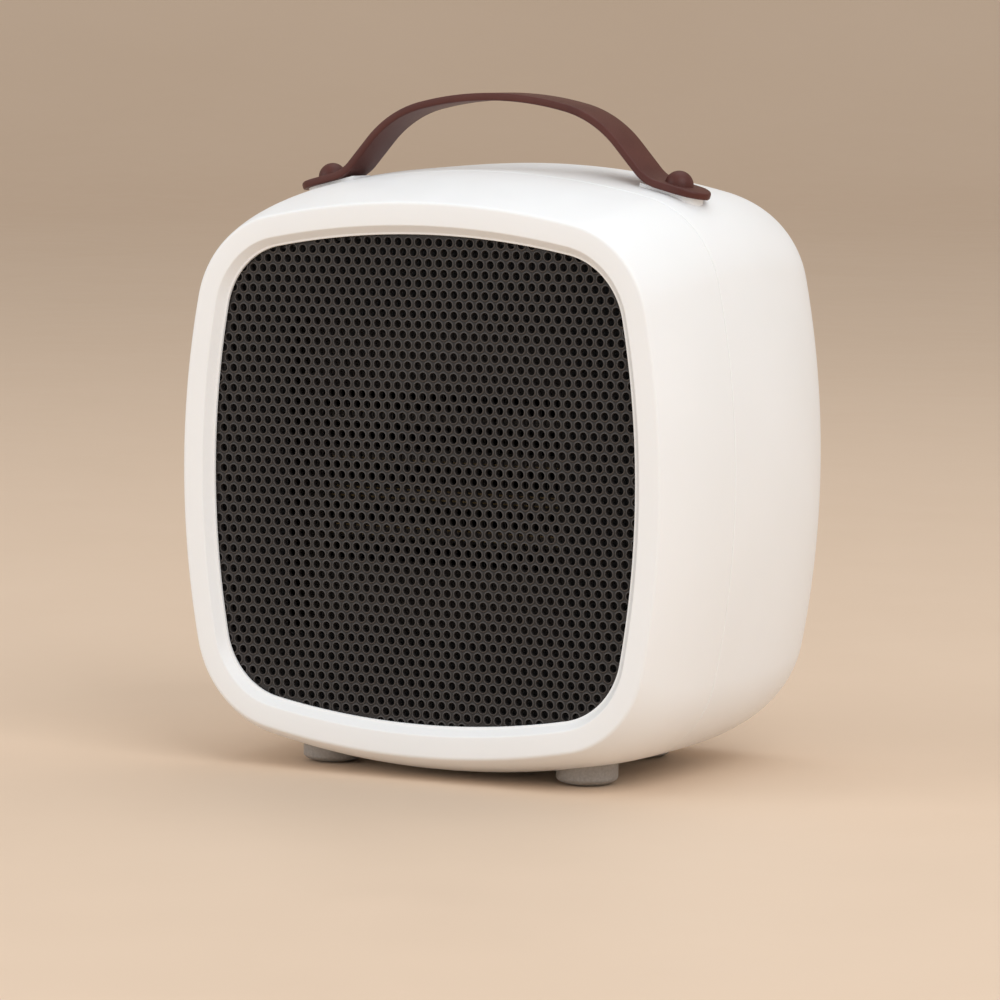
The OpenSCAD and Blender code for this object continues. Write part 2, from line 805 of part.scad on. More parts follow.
// The intake guard: rings on spokes in a round frame.
module rear_grille() {
    rim = intake_screw_at + 3.3;
    ring_pitch = 5.6;
    color([0.90, 0.89, 0.87])
    translate([0, 0, intake_z])
    difference() {
        union() {
            plate_y(back_y - 1.6, back_y) difference() {
                circle(r = rim, $fn = 96);
                circle(r = intake_r - 2.4, $fn = 96);
            }
            plate_y(back_y - 3, back_y - 0.4) union() {
                for (k = [0:7]) difference() {
                    circle(r = 9.6 + ring_pitch * k, $fn = 72);
                    if (k > 0) circle(r = 7.6 + ring_pitch * k, $fn = 72);
                }
                for (k = [0:7]) rotate(45 * k) translate([-1, 0]) square([2, intake_r - 0.3]);
            }
        }
        intake_screw_places() rod_y(screw_hole_r, back_y - 2, back_y + 1);
        intake_screw_places() rod_y(screw_head_r + 0.1, back_y - 0.8, back_y + 1);
    }
}

module rear_grille_screws() {
    color(steel) translate([0, 0, intake_z]) intake_screw_places() {
        rod_y(screw_head_r, back_y - 0.8, back_y - 0.1);
        rod_y(screw_r, back_y - 7.5, back_y - 0.7);
    }
}

// The power switch: a flush frame with a body behind it, and the rocking button between two dimples.
rocker_pivot_y = back_y - 5;
rocker_pin_r = 1;
rocker_pin_x = switch_w / 2 - 1.3;

module rocker_frame() {
    case_d = 16;
    color(black)
    translate([0, 0, switch_z])
    difference() {
        union() {
            plate_y(back_y - 1, back_y) square([switch_w + 3.6, switch_h + 3.6], center = true);
            plate_y(back_y - case_d, back_y - 0.9) square([switch_w - 0.2, switch_h - 0.2], center = true);
        }
        plate_y(back_y - 8, back_y + 1) square([switch_w - 4, switch_h - 3], center = true);
        translate([-rocker_pin_x - 0.1, rocker_pivot_y, 0]) rotate([0, 90, 0])
            cylinder(r = rocker_pin_r + 0.06, h = 2 * rocker_pin_x + 0.2, $fn = 32);
    }
}

module rocker_button() {
    w = switch_w - 4.7;
    h = switch_h - 3.8;
    color([0.12, 0.12, 0.12])
    translate([0, rocker_pivot_y, switch_z])
    rotate([90, 0, 90]) {
        translate([0, 0, -w / 2]) linear_extrude(w) union() {
            polygon([[0, -h / 2 + 1.4], [3.2, -h / 2 + 0.3], [4.7, -h / 2 + 0.5], [3.5, 0],
                [4.7, h / 2 - 0.5], [3.2, h / 2 - 0.3], [0, h / 2 - 1.4]]);
            circle(r = 2.6, $fn = 32);
        }
        translate([0, 0, -rocker_pin_x]) cylinder(r = rocker_pin_r, h = 2 * rocker_pin_x, $fn = 32);
    }
}

// The tip-over switch: a sprung plunger that the ground holds up.
module tip_plunger() {
    color([0.85, 0.84, 0.80])
    translate([tip_x, tip_y, plunger_bottom_z]) {
        cylinder(r = plunger_r, h = plunger_flange_z - plunger_bottom_z + 1, $fn = 48);
        translate([0, 0, plunger_flange_z - plunger_bottom_z])
            cylinder(r = flange_r, h = plunger_flange_t, $fn = 48);
        cylinder(r = 2, h = plunger_top_z - plunger_bottom_z, $fn = 32);
    }
}

// The plunger's spring, as a swept helix.
module tip_spring() {
    turns = 5;
    per_turn = 14;
    sides = 6;
    mean_r = 4;
    wire_r = 0.35;
    low = plunger_flange_z + plunger_flange_t + wire_r + 0.05;
    high = tip_bridge_z - 0.1 - wire_r;
    steps = turns * per_turn;
    color(steel)
    translate([tip_x, tip_y, 0])
    skin([for (i = [0:steps]) let (a = 360 * i / per_turn, z = low + (high - low) * i / steps)
        [for (k = [0:sides - 1]) let (b = -360 * k / sides, r = mean_r + wire_r * cos(b))
            [r * cos(a), r * sin(a), z + wire_r * sin(b)]]]);
}

// The bridge over the plunger that the spring pushes against, with a wall that carries the switch.
module tip_bracket() {
    t = 1.6;
    color([0.85, 0.84, 0.80])
    translate([tip_x, tip_y, 0])
    difference() {
        union() {
            translate([-9, -6, tip_bridge_z]) cube([18, 12, t]);
            translate([-9, 6 - t, tip_bridge_z]) cube([18, t, tip_lever_z + 11 - tip_bridge_z]);
            for (s = [0, 1]) mirror([s, 0, 0]) translate([9 - t, -6, tip_seat_z]) {
                cube([t, 12, tip_bridge_z + 1 - tip_seat_z]);
                cube([5, 12, t]);
            }
        }
        translate([0, 0, tip_bridge_z - 1]) cylinder(r = 2.3, h = t + 2, $fn = 32);
    }
}

module tip_switch() {
    case_z = 2.2;
    ear_t = 0.9;
    color([0.15, 0.15, 0.16])
    translate([tip_x, tip_y, tip_lever_z])
    difference() {
        union() {
            translate([-10, -2.6, case_z]) cube([19, 6.9, 8.6]);
            for (y = [-2.6, 1.7]) translate([-10, y, -0.6]) cube([4, ear_t, case_z + 1]);
        }
        for (s = [-1, 1]) translate([s * 5, 0, 7]) rod_y(1.1, -4, 6);
        translate([-tip_lever_l, 0, 0.6]) rod_y(lever_pin_r + 0.06, -4, 4);
    }
}

// The switch's lever, resting on top of the plunger, with its pin in the switch's two ears.
module tip_lever() {
    color(steel)
    translate([tip_x, tip_y, tip_lever_z])
    union() {
        translate([-tip_lever_l, -1.5, 0]) cube([tip_lever_l + 3, 3, 0.5]);
        translate([-tip_lever_l, 0, 0.6]) rod_y(lever_pin_r, -2.6, 2.6);
    }
}

// The circuit board and what stands on it.
module control_board() {
    color(board_green)
    difference() {
        translate([board_x, board_y, board_z]) cube([board_w, board_l, 1.6]);
        at_board_screws() translate([0, 0, board_z - 1]) cylinder(r = screw_hole_r, h = 4, $fn = 32);
    }
}

module at_board_screws() {
    for (p = board_screw_places) translate([p[0], p[1], 0]) children();
}

module relays() {
    color([0.12, 0.28, 0.55])
    for (k = [0, 1]) translate([board_x + 8, board_y + 3 + 18 * k, board_z + 1.6]) cube([19, 15.4, 14]);
}

module capacitor() {
    color([0.80, 0.66, 0.20])
    translate([board_x + 30, board_y + 10, board_z + 1.6]) cube([13, 6, 11]);
}

module terminal_block() {
    color([0.22, 0.52, 0.32])
    difference() {
        translate([board_x + 31, board_y + 22, board_z + 1.6]) cube([15.2, 8, 9]);
        for (k = [0:2]) translate([board_x + 33.7 + 5 * k, board_y + 26, board_z + 5])
            cylinder(r = 1.6, h = 8, $fn = 32);
    }
}

module board_screws() {
    color(steel) at_board_screws() {
        translate([0, 0, board_z + 1.6]) cylinder(r = screw_head_r, h = screw_head_h, $fn = 32);
        translate([0, 0, board_z - 6]) cylinder(r = screw_r, h = 7.61, $fn = 32);
    }
}

// The bush that the supply cord enters through; its flange is flush with the back.
module cord_gland() {
    color(black)
    translate([gland_x, 0, gland_z])
    difference() {
        union() {
            rod_y(9, back_y - 1.2, back_y);
            rod_y(5.9, back_y - 11, back_y - 1.1);
        }
        rod_y(cord_r, back_y - 12, back_y + 1);
    }
}

module gland_nut() {
    color(black)
    translate([gland_x, 0, gland_z])
    difference() {
        plate_y(back_y - wall - 4.6, back_y - wall - 0.4) circle(r = 8.4, $fn = 6);
        rod_y(5.92, back_y - wall - 6, back_y);
    }
}

// An arc of a strap's profile, turning from direction a to direction b (degrees below level),
// bent down round a centre below it, or up round a centre above it.
function arc_down(p, r, a, b, n) = [for (i = [0:n]) let (w = a + (b - a) * i / n)
    [p[0] + r * (sin(w) - sin(a)), p[1] + r * (cos(w) - cos(a))]];
function arc_up(p, r, a, b, n) = [for (i = [0:n]) let (w = a + (b - a) * i / n)
    [p[0] + r * (sin(a) - sin(w)), p[1] - r * (cos(w) - cos(a))]];
function last(list) = list[len(list) - 1];

// The right half of the strap's profile, at distance off above its middle line.
function strap_half(off) =
    let (
        crown_end = 13.5,
        top = arc_down([0, strap_top - strap_t / 2 + off], 117 + off, 0, crown_end, 6),
        shoulder = arc_down(last(top), 38 + off, crown_end, strap_lean, 8),
        s = last(shoulder),
        foot_r = 14 - off,
        foot_dx = foot_r * (sin(strap_lean) - sin(seat_tilt)),
        foot_dz = foot_r * (cos(seat_tilt) - cos(strap_lean)),
        seat_at = strap_seat_z + (strap_t / 2 + off) / cos(seat_tilt),
        fall = s[1] - foot_dz - seat_at + (s[0] + foot_dx - rivet_x) * tan(seat_tilt),
        run = fall / (tan(strap_lean) - tan(seat_tilt)),
        foot = arc_up([s[0] + run, s[1] - run * tan(strap_lean)], foot_r, strap_lean, seat_tilt, 6),
        tip = [strap_tip_x + 1, seat_at - (strap_tip_x + 1 - rivet_x) * tan(seat_tilt)]
    )
    concat(top, [for (i = [1:len(shoulder) - 1]) shoulder[i]], foot, [tip]);

// The carrying strap: a flat moulded band with round ends, bent into a low arch.
module handle_strap() {
    upper = strap_half(strap_t / 2);
    lower = strap_half(-strap_t / 2);
    n = len(upper);
    color(brown)
    difference() {
        intersection() {
            translate([0, strap_y, 0]) plate_y(-strap_w / 2, strap_w / 2) polygon(concat(
                [for (p = upper) p],
                [for (i = [n - 1:-1:0]) lower[i]],
                [for (i = [1:n - 1]) [-lower[i][0], lower[i][1]]],
                [for (i = [n - 1:-1:1]) [-upper[i][0], upper[i][1]]]
            ));
            translate([0, strap_y, strap_seat_z - 20]) linear_extrude(60) union() {
                square([2 * strap_tip_x - strap_w, strap_w], center = true);
                for (s = [-1, 1]) translate([s * (strap_tip_x - strap_w / 2), 0])
                    circle(d = strap_w, $fn = 64);
            }
        }
        at_strap_seats() translate([0, 0, -1]) cylinder(r = 2.5, h = strap_t + 3, $fn = 32);
    }
}

// The two tilted seats of the strap, with +Z out of the seat and +X towards the strap's tip.
module at_strap_seats() {
    for (s = [0, 1]) mirror([s, 0, 0])
        translate([rivet_x, strap_y, strap_seat_z]) rotate([0, seat_tilt, 0]) children();
}

module handle_rivets() {
    sink = 0.5;
    color(brown)
    at_strap_seats() difference() {
        union() {
            intersection() {
                translate([0, 0, strap_t - sink]) sphere(d = rivet_d, $fn = 48);
                translate([0, 0, strap_t + 0.02]) cylinder(r = rivet_d, h = rivet_d, $fn = 48);
            }
            cylinder(r = 2.4, h = strap_t + 0.5, $fn = 32);
        }
        translate([0, 0, -1]) cylinder(r = screw_r + 0.02, h = strap_t + 3.4, $fn = 32);
    }
}

module strap_washers() {
    color(steel) at_strap_seats() difference() {
        translate([0, 0, -strap_boss_h - washer_t]) cylinder(r = 4.4, h = washer_t, $fn = 48);
        translate([0, 0, -strap_boss_h - 2]) cylinder(r = screw_hole_r, h = 3, $fn = 32);
    }
}

module strap_screws() {
    seat_z = -strap_boss_h - washer_t;
    bite = 1.2;
    color(steel) at_strap_seats() {
        translate([0, 0, seat_z - screw_head_h]) cylinder(r = screw_head_r, h = screw_head_h, $fn = 32);
        translate([0, 0, seat_z - 0.01]) cylinder(r = screw_r, h = strap_t + bite - seat_z, $fn = 32);
    }
}

// Rubber feet with a domed underside and a small flat to stand on.
module feet() {
    dome_steps = 6;
    places = [[foot_x, foot_front_y], [rear_foot_x, foot_rear_y]];
    color(translucent_grey)
    for (p = places) for (s = [-1, 1]) translate([s * p[0], p[1], 0])
        rotate_extrude($fn = 48) polygon(concat(
            [[0, foot_h], [0, 0]],
            [for (i = [0:dome_steps]) let (w = 90 * i / dome_steps)
                [foot_flat_r + (foot_d / 2 - foot_flat_r) * sin(w), foot_dome_h * (1 - cos(w))]],
            [[foot_d / 2, foot_h]]
        ));
}

front_shell();
rear_shell();
front_grille();
grille_frame();
grille_screws();
tie_screws();
air_duct();
duct_screws();
heater_frame();
heater_holders();
ptc_stones();
ptc_electrodes();
heater_fins();
thermostat();
thermal_fuse();
fan();
fan_clip();
motor_shaft();
armature();
commutator();
motor_can();
motor_cap();
motor_magnets();
motor_bushes();
motor_brushes();
motor_bracket();
bracket_screws();
motor_screws();
rear_grille();
rear_grille_screws();
rocker_frame();
rocker_button();
tip_plunger();
tip_spring();
tip_bracket();
tip_switch();
tip_lever();
control_board();
relays();
capacitor();
terminal_block();
board_screws();
cord_gland();
gland_nut();
handle_strap();
handle_rivets();
strap_washers();
strap_screws();
feet();
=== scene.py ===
"""Looks of the small ceramic space heater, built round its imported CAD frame.

Metres, +Z up, the grille faces -Y. Sizes written as NUMBER * MM are real sizes of the heater.
"""
import math
from itertools import pairwise

import bmesh
import bpy
from mathutils import Matrix, Vector


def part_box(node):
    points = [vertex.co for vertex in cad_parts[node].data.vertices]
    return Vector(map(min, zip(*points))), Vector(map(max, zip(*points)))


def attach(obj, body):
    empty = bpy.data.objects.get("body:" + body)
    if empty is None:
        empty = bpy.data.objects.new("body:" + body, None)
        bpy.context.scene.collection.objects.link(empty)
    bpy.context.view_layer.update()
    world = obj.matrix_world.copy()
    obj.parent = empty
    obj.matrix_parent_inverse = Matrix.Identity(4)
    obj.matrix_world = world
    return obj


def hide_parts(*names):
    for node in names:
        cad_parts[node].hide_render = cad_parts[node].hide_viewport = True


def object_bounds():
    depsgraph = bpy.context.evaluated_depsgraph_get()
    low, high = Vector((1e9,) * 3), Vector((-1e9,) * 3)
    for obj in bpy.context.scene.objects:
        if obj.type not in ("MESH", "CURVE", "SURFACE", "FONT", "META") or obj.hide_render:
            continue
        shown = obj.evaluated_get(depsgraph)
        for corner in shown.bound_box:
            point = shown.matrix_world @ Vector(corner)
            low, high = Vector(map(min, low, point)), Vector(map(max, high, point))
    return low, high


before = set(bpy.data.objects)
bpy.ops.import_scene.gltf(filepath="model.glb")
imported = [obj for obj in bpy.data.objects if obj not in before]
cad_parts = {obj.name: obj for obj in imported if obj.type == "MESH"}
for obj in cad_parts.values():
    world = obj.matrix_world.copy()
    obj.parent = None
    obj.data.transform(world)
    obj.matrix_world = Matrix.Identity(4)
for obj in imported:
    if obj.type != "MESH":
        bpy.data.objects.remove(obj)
cad_box = [list(corner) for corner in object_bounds()]

MM = 0.001
CASING = "casing"

# ---------------------------------------------------------------- places, from the frame

front_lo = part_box("front_shell")[0]
rear_lo, rear_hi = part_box("rear_shell")
grille_lo, grille_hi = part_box("front_grille")
guard_lo, guard_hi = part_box("rear_grille")
strap_lo, strap_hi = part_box("handle_strap")
feet_lo, feet_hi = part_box("feet")
wells_lo, wells_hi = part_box("tie_screws")
rocker_lo, rocker_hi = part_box("rocker_frame")
gland_lo, gland_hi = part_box("cord_gland")
plunger_lo, plunger_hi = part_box("tip_plunger")

FRONT_Y = front_lo.y
BACK_Y = rear_hi.y
SEAM_Y = rear_lo.y
GRILLE_Y = grille_lo.y
GRILLE_BACK_Y = grille_hi.y
FRONT_Z = (grille_lo.z + grille_hi.z) / 2
GRILLE_LAP = 2 * MM
OUTLET_HALF = (grille_hi.x - grille_lo.x) / 2 - GRILLE_LAP

# ---------------------------------------------------------------- shape of the casing

FRONT_HALF = 88.8 * MM
BODY_HALF_W = 95 * MM
BODY_TOP = FRONT_Z + 100.7 * MM
BELLY = 0.8 * MM
WALL = 2.4 * MM
SIDE_BOW = 285 * MM
CORNER = 34 * MM
OUTLET_BOW = 291 * MM
OUTLET_CORNER = 24.4 * MM
BEVEL = 3.0 * MM
SWELL_DEPTH = 76 * MM
SIDE_POWER = 5.5
TOP_POWER = 2.05
BELLY_POWER = 7
TUCK_DEPTH = 70 * MM
TUCK = 17.7 * MM
TUCK_POWER = 2.35
CORNER_TUCK = 0.6
DIP = 2 * MM
DIP_HALF_L = 52 * MM
DIP_HALF_W = 21 * MM
SEAM_GAP = 0.16 * MM
SIDE_STEPS = 22
CORNER_STEPS = 18


def clamp01(v):
    return min(1.0, max(0.0, v))


def swell(y, power):
    return 1 - (1 - clamp01((y - FRONT_Y) / SWELL_DEPTH)) ** power


def tuck_at(y):
    s = clamp01((y - BACK_Y + TUCK_DEPTH) / TUCK_DEPTH)
    return TUCK * (1 - (1 - s**TUCK_POWER) ** (1 / TUCK_POWER))


def half_w(y):
    return FRONT_HALF + (BODY_HALF_W - FRONT_HALF) * swell(y, SIDE_POWER) - tuck_at(y)


def top_z(y):
    z = FRONT_Z + FRONT_HALF
    return z + (BODY_TOP - z) * swell(y, TOP_POWER) - tuck_at(y)


def bottom_z(y):
    z = FRONT_Z - FRONT_HALF
    return z + (BELLY - z) * swell(y, BELLY_POWER) + tuck_at(y)


def bump(v):
    return (1 - v * v) ** 2 if abs(v) < 1 else 0.0


def dip_at(x, y):
    """How far the top of the body is dipped under the strap."""
    return DIP * bump(x / DIP_HALF_L) * bump(y / DIP_HALF_W)


def corner_centre(half, bow, corner):
    b = bow - half
    reach = bow - corner
    return (-2 * b + math.sqrt(4 * b * b - 8 * (b * b - reach * reach))) / 4


def outline(half, bow, corner):
    """A square outline with bowed sides and round corners, as (x, z) points, anticlockwise."""
    c = corner_centre(half, bow, corner)
    turn = math.atan2(c, c - half + bow)
    eighth = []
    for i in range(SIDE_STEPS):
        w = turn * i / SIDE_STEPS
        eighth.append((half - bow + bow * math.cos(w), bow * math.sin(w)))
    for i in range(CORNER_STEPS + 1):
        w = turn + (math.pi / 4 - turn) * i / CORNER_STEPS
        eighth.append((c + corner * math.cos(w), c + corner * math.sin(w)))
    quarter = eighth + [(z, x) for x, z in eighth[-2:0:-1]]
    points = []
    for q in range(4):
        cos_q, sin_q = (1, 0, -1, 0)[q], (0, 1, 0, -1)[q]
        points += [(x * cos_q - z * sin_q, x * sin_q + z * cos_q) for x, z in quarter]
    return points


def body_ring(y, inset=0.0):
    """A ring of the body's skin at depth y, or of a surface that lies inset inside the skin."""
    skin_y = min(BACK_Y, y + inset)
    a = half_w(skin_y) - inset
    top = top_z(skin_y) - inset
    bottom = bottom_z(skin_y) + inset
    b = (top - bottom) / 2
    shrink = tuck_at(skin_y)
    flat = outline(a, SIDE_BOW - inset - shrink, CORNER - inset - CORNER_TUCK * shrink)
    return [
        Vector((x, y, z * b / a + (top + bottom) / 2 - (dip_at(x, y) if z > 0 else 0.0)))
        for x, z in flat
    ]


def opening_ring(y, offset, bow=OUTLET_BOW):
    """A ring round the outlet at depth y, offset outwards from the opening's edge."""
    return [
        Vector((x, y, z + FRONT_Z))
        for x, z in outline(OUTLET_HALF + offset, bow, OUTLET_CORNER + 0.85 * offset)
    ]


# ---------------------------------------------------------------- mesh helpers


def new_object(name, verts, faces, material, sharp_deg=38, merge=0.0):
    """A smooth-shaded object from points and faces, with its sharp edges kept sharp."""
    mesh = bpy.data.meshes.new(name)
    mesh.from_pydata([tuple(v) for v in verts], [], faces)
    bm = bmesh.new()
    bm.from_mesh(mesh)
    if merge > 0:
        bmesh.ops.remove_doubles(bm, verts=bm.verts, dist=merge)
    bmesh.ops.recalc_face_normals(bm, faces=bm.faces)
    bm.to_mesh(mesh)
    bm.free()
    mesh.materials.append(material)
    mesh.shade_smooth()
    mesh.set_sharp_from_angle(angle=math.radians(sharp_deg))
    obj = bpy.data.objects.new(name, mesh)
    bpy.context.scene.collection.objects.link(obj)
    return obj


def place(obj, body, nodes):
    """Rides a finished piece on a body, in place of CAD nodes."""
    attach(obj, body)
    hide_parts(*nodes)
    return obj


def loft(rings, loop=False, caps=False):
    """Points and faces of a skin over rings of equal length."""
    n = len(rings[0])
    m = len(rings)
    verts = [v for ring in rings for v in ring]
    faces = []
    for j in range(m if loop else m - 1):
        a = j * n
        b = (j + 1) % m * n
        for i in range(n):
            k = (i + 1) % n
            faces.append((a + i, b + i, b + k, a + k))
    if caps:
        faces.append(tuple(reversed(range(n))))
        faces.append(tuple(range((m - 1) * n, m * n)))
    return verts, faces


def soften(rings, cuts, loop=False, steps=5):
    """Rounds the profile that runs through the rings. cuts gives each ring's rounding distance."""
    out = []
    m = len(rings)
    for j, (ring, cut) in enumerate(zip(rings, cuts)):
        if cut == 0 or (not loop and j in (0, m - 1)):
            out.append(ring)
            continue
        before, after = rings[j - 1], rings[(j + 1) % m]
        starts = [p + (q - p) * min(0.5, cut / (q - p).length) for p, q in zip(ring, before)]
        ends = [p + (q - p) * min(0.5, cut / (q - p).length) for p, q in zip(ring, after)]
        for i in range(steps + 1):
            t = i / steps
            out.append([
                s * (1 - t) ** 2 + p * (2 * t * (1 - t)) + e * t * t
                for s, p, e in zip(starts, ring, ends)
            ])
    return out


def lathe(profile, place_at, segments=64):
    """Points and faces of a closed (radius, height) profile turned round the Z axis of place_at."""
    verts, faces = [], []
    n = len(profile)
    for i in range(segments):
        w = 2 * math.pi * i / segments
        for r, h in profile:
            verts.append(place_at @ Vector((r * math.cos(w), r * math.sin(w), h)))
    for i in range(segments):
        a, b = i * n, (i + 1) % segments * n
        for j in range(n):
            k = (j + 1) % n
            faces.append((a + j, b + j, b + k, a + k))
    return verts, faces


def join(parts):
    """Joins several (points, faces) pairs into one."""
    verts, faces = [], []
    for more_verts, more_faces in parts:
        start = len(verts)
        verts += more_verts
        faces += [tuple(start + i for i in face) for face in more_faces]
    return verts, faces


def cylinder_part(radius, start, end, segments=64):
    """A plain closed cylinder from one point to another, for cutting and adding."""
    axis = end - start
    turn = axis.to_track_quat("Z", "Y").to_matrix().to_4x4()
    spot = Matrix.Translation(start) @ turn
    rings = [
        [
            spot @ Vector((
                radius * math.cos(2 * math.pi * i / segments),
                radius * math.sin(2 * math.pi * i / segments),
                h,
            ))
            for i in range(segments)
        ]
        for h in (0, axis.length)
    ]
    return loft(rings, caps=True)


def rod_y(radius, x, z, y0, y1, segments=64):
    return cylinder_part(radius, Vector((x, y0, z)), Vector((x, y1, z)), segments)


def prism_y(points, y0, y1):
    """A closed prism along Y from (x, z) points."""
    return loft([[Vector((x, y, z)) for x, z in points] for y in (y0, y1)], caps=True)


def rectangle(x0, z0, x1, z1):
    return [(x0, z0), (x1, z0), (x1, z1), (x0, z1)]


def carve(obj, part, operation):
    """Cuts a closed shape out of a piece, or adds it, and applies the result."""
    tool = new_object("tool", *part, obj.data.materials[0])
    modifier = obj.modifiers.new("carve", "BOOLEAN")
    modifier.operation = operation
    modifier.solver = "EXACT"
    modifier.object = tool
    depsgraph = bpy.context.evaluated_depsgraph_get()
    mesh = bpy.data.meshes.new_from_object(obj.evaluated_get(depsgraph))
    obj.modifiers.clear()
    obj.data = mesh
    bpy.data.objects.remove(tool)
    mesh.shade_smooth()
    mesh.set_sharp_from_angle(angle=math.radians(30))


# ---------------------------------------------------------------- materials


class Nodes:
    """A small builder for one material's node tree."""

    def __init__(self, name):
        self.material = bpy.data.materials.new(name)
        self.material.use_nodes = True
        self.tree = self.material.node_tree
        self.shader = self.tree.nodes["Principled BSDF"]
        coords = self.tree.nodes.new("ShaderNodeTexCoord")
        self.place = coords.outputs["Object"]

    def add(self, kind, **settings):
        node = self.tree.nodes.new(kind)
        for key, value in settings.items():
            setattr(node, key, value)
        return node

    def link(self, source, target):
        self.tree.links.new(source, target)

    def stretched(self, scale):
        mapping = self.add("ShaderNodeMapping")
        mapping.inputs["Scale"].default_value = scale
        self.link(self.place, mapping.inputs["Vector"])
        return mapping.outputs["Vector"]

    def noise(self, size, detail=3.0, roughness=0.55, vector=None):
        """Noise with features of about this size, in metres."""
        node = self.add("ShaderNodeTexNoise")
        node.inputs["Scale"].default_value = 1 / size
        node.inputs["Detail"].default_value = detail
        node.inputs["Roughness"].default_value = roughness
        self.link(vector or self.place, node.inputs["Vector"])
        return node.outputs["Fac"]

    def voronoi(self, size, feature="F1"):
        node = self.add("ShaderNodeTexVoronoi", feature=feature)
        node.inputs["Scale"].default_value = 1 / size
        self.link(self.place, node.inputs["Vector"])
        return node.outputs["Distance"]

    def ramp(self, value, low, high, at=(0.3, 0.7)):
        """Two colours, mixed by a value."""
        node = self.add("ShaderNodeValToRGB")
        node.color_ramp.elements[0].position = at[0]
        node.color_ramp.elements[1].position = at[1]
        node.color_ramp.elements[0].color = (*low, 1)
        node.color_ramp.elements[1].color = (*high, 1)
        self.link(value, node.inputs["Fac"])
        return node.outputs["Color"]

    def span(self, value, low, high, at=(0.3, 0.7)):
        """A value stretched to a range."""
        node = self.add("ShaderNodeMapRange")
        node.inputs["From Min"].default_value = at[0]
        node.inputs["From Max"].default_value = at[1]
        node.inputs["To Min"].default_value = low
        node.inputs["To Max"].default_value = high
        self.link(value, node.inputs["Value"])
        return node.outputs["Result"]

    def math(self, operation, a, b=None):
        node = self.add("ShaderNodeMath", operation=operation)
        for slot, value in enumerate((a, b)):
            if value is None:
                continue
            if isinstance(value, (int, float)):
                node.inputs[slot].default_value = value
            else:
                self.link(value, node.inputs[slot])
        return node.outputs[0]

    def mix(self, factor, a, b):
        node = self.add("ShaderNodeMix", data_type="RGBA")
        self.link(factor, node.inputs["Factor"])
        for socket, value in ((node.inputs[6], a), (node.inputs[7], b)):
            if isinstance(value, tuple):
                socket.default_value = (*value, 1)
            else:
                self.link(value, socket)
        return node.outputs[2]

    def bump(self, height, depth, under=None):
        """A bump of this depth in metres, over another bump if given."""
        node = self.add("ShaderNodeBump")
        node.inputs["Strength"].default_value = 1.0
        node.inputs["Distance"].default_value = depth
        self.link(height, node.inputs["Height"])
        if under is not None:
            self.link(under, node.inputs["Normal"])
        return node.outputs["Normal"]

    def finish(self, color=None, roughness=None, normal=None, **values):
        for name, source in (("Base Color", color), ("Roughness", roughness), ("Normal", normal)):
            if source is not None:
                self.link(source, self.shader.inputs[name])
        for name, value in values.items():
            self.shader.inputs[name.replace("_", " ")].default_value = value
        return self.material


def moulded(name, color, roughness=0.45, tint=0.06, grain=0.35 * MM, depth=0.012 * MM, **values):
    """Moulded plastic: faint cloudy colour, and a fine spark-eroded grain."""
    n = Nodes(name)
    low = tuple(c * (1 - tint) for c in color)
    cloud = n.noise(22 * MM, detail=4)
    fine = n.noise(grain, detail=2)
    return n.finish(
        color=n.ramp(cloud, low, color),
        roughness=n.span(n.noise(6 * MM), roughness * 0.88, roughness * 1.12),
        normal=n.bump(fine, depth),
        **values,
    )


def metal(name, color, roughness=0.35, brushed=(1, 1, 1), depth=0.01 * MM, tint=0.12):
    """Metal with fine tool marks, drawn out along the axes where brushed is small."""
    n = Nodes(name)
    low = tuple(c * (1 - tint) for c in color)
    marks = n.noise(0.6 * MM, detail=4, vector=n.stretched(brushed))
    return n.finish(
        color=n.ramp(n.noise(7 * MM, detail=5), low, color),
        roughness=n.span(marks, roughness * 0.8, roughness * 1.25),
        normal=n.bump(marks, depth),
        Metallic=1.0,
    )


def shell_white(name="shell_white"):
    """Satin white ABS: a very slight warm cloud, soft sheen, fine grain and a long shallow ripple."""
    n = Nodes(name)
    cloud = n.noise(45 * MM, detail=3)
    ripple = n.bump(n.noise(26 * MM, detail=1), 0.02 * MM)
    return n.finish(
        color=n.ramp(cloud, (0.855, 0.858, 0.856), (0.875, 0.878, 0.878)),
        roughness=n.span(n.noise(9 * MM), 0.40, 0.48),
        normal=n.bump(n.noise(0.30 * MM, detail=2), 0.006 * MM, under=ripple),
        Coat_Weight=0.06,
        Coat_Roughness=0.30,
        Subsurface_Weight=0.03,
        Subsurface_Radius=(0.004, 0.003, 0.002),
    )


def grille_charcoal():
    """Charcoal plastic, with a painted highlight on the raised rings and painted shade in the field between
    them.
    """
    n = Nodes("grille_charcoal")
    speck = n.noise(0.22 * MM, detail=3)
    cloud = n.noise(18 * MM, detail=4)
    height = n.add("ShaderNodeSeparateXYZ")
    n.link(n.place, height.inputs["Vector"])
    # Painted light: the fronts of the rings are painted lighter as a highlight, and the lower field between
    # them darker as shade.
    raised = n.span(height.outputs["Y"], 1.0, 0.0, at=(GRILLE_Y, GRILLE_Y + RING_H))
    base = n.ramp(cloud, (0.0150, 0.0122, 0.0112), (0.0185, 0.0152, 0.0140))
    ring_highlight_tone = n.ramp(speck, (0.052, 0.044, 0.041), (0.066, 0.057, 0.053))
    return n.finish(
        color=n.mix(raised, base, ring_highlight_tone),
        roughness=n.span(speck, 0.46, 0.62),
        normal=n.bump(speck, 0.02 * MM),
        Specular_IOR_Level=0.42,
    )


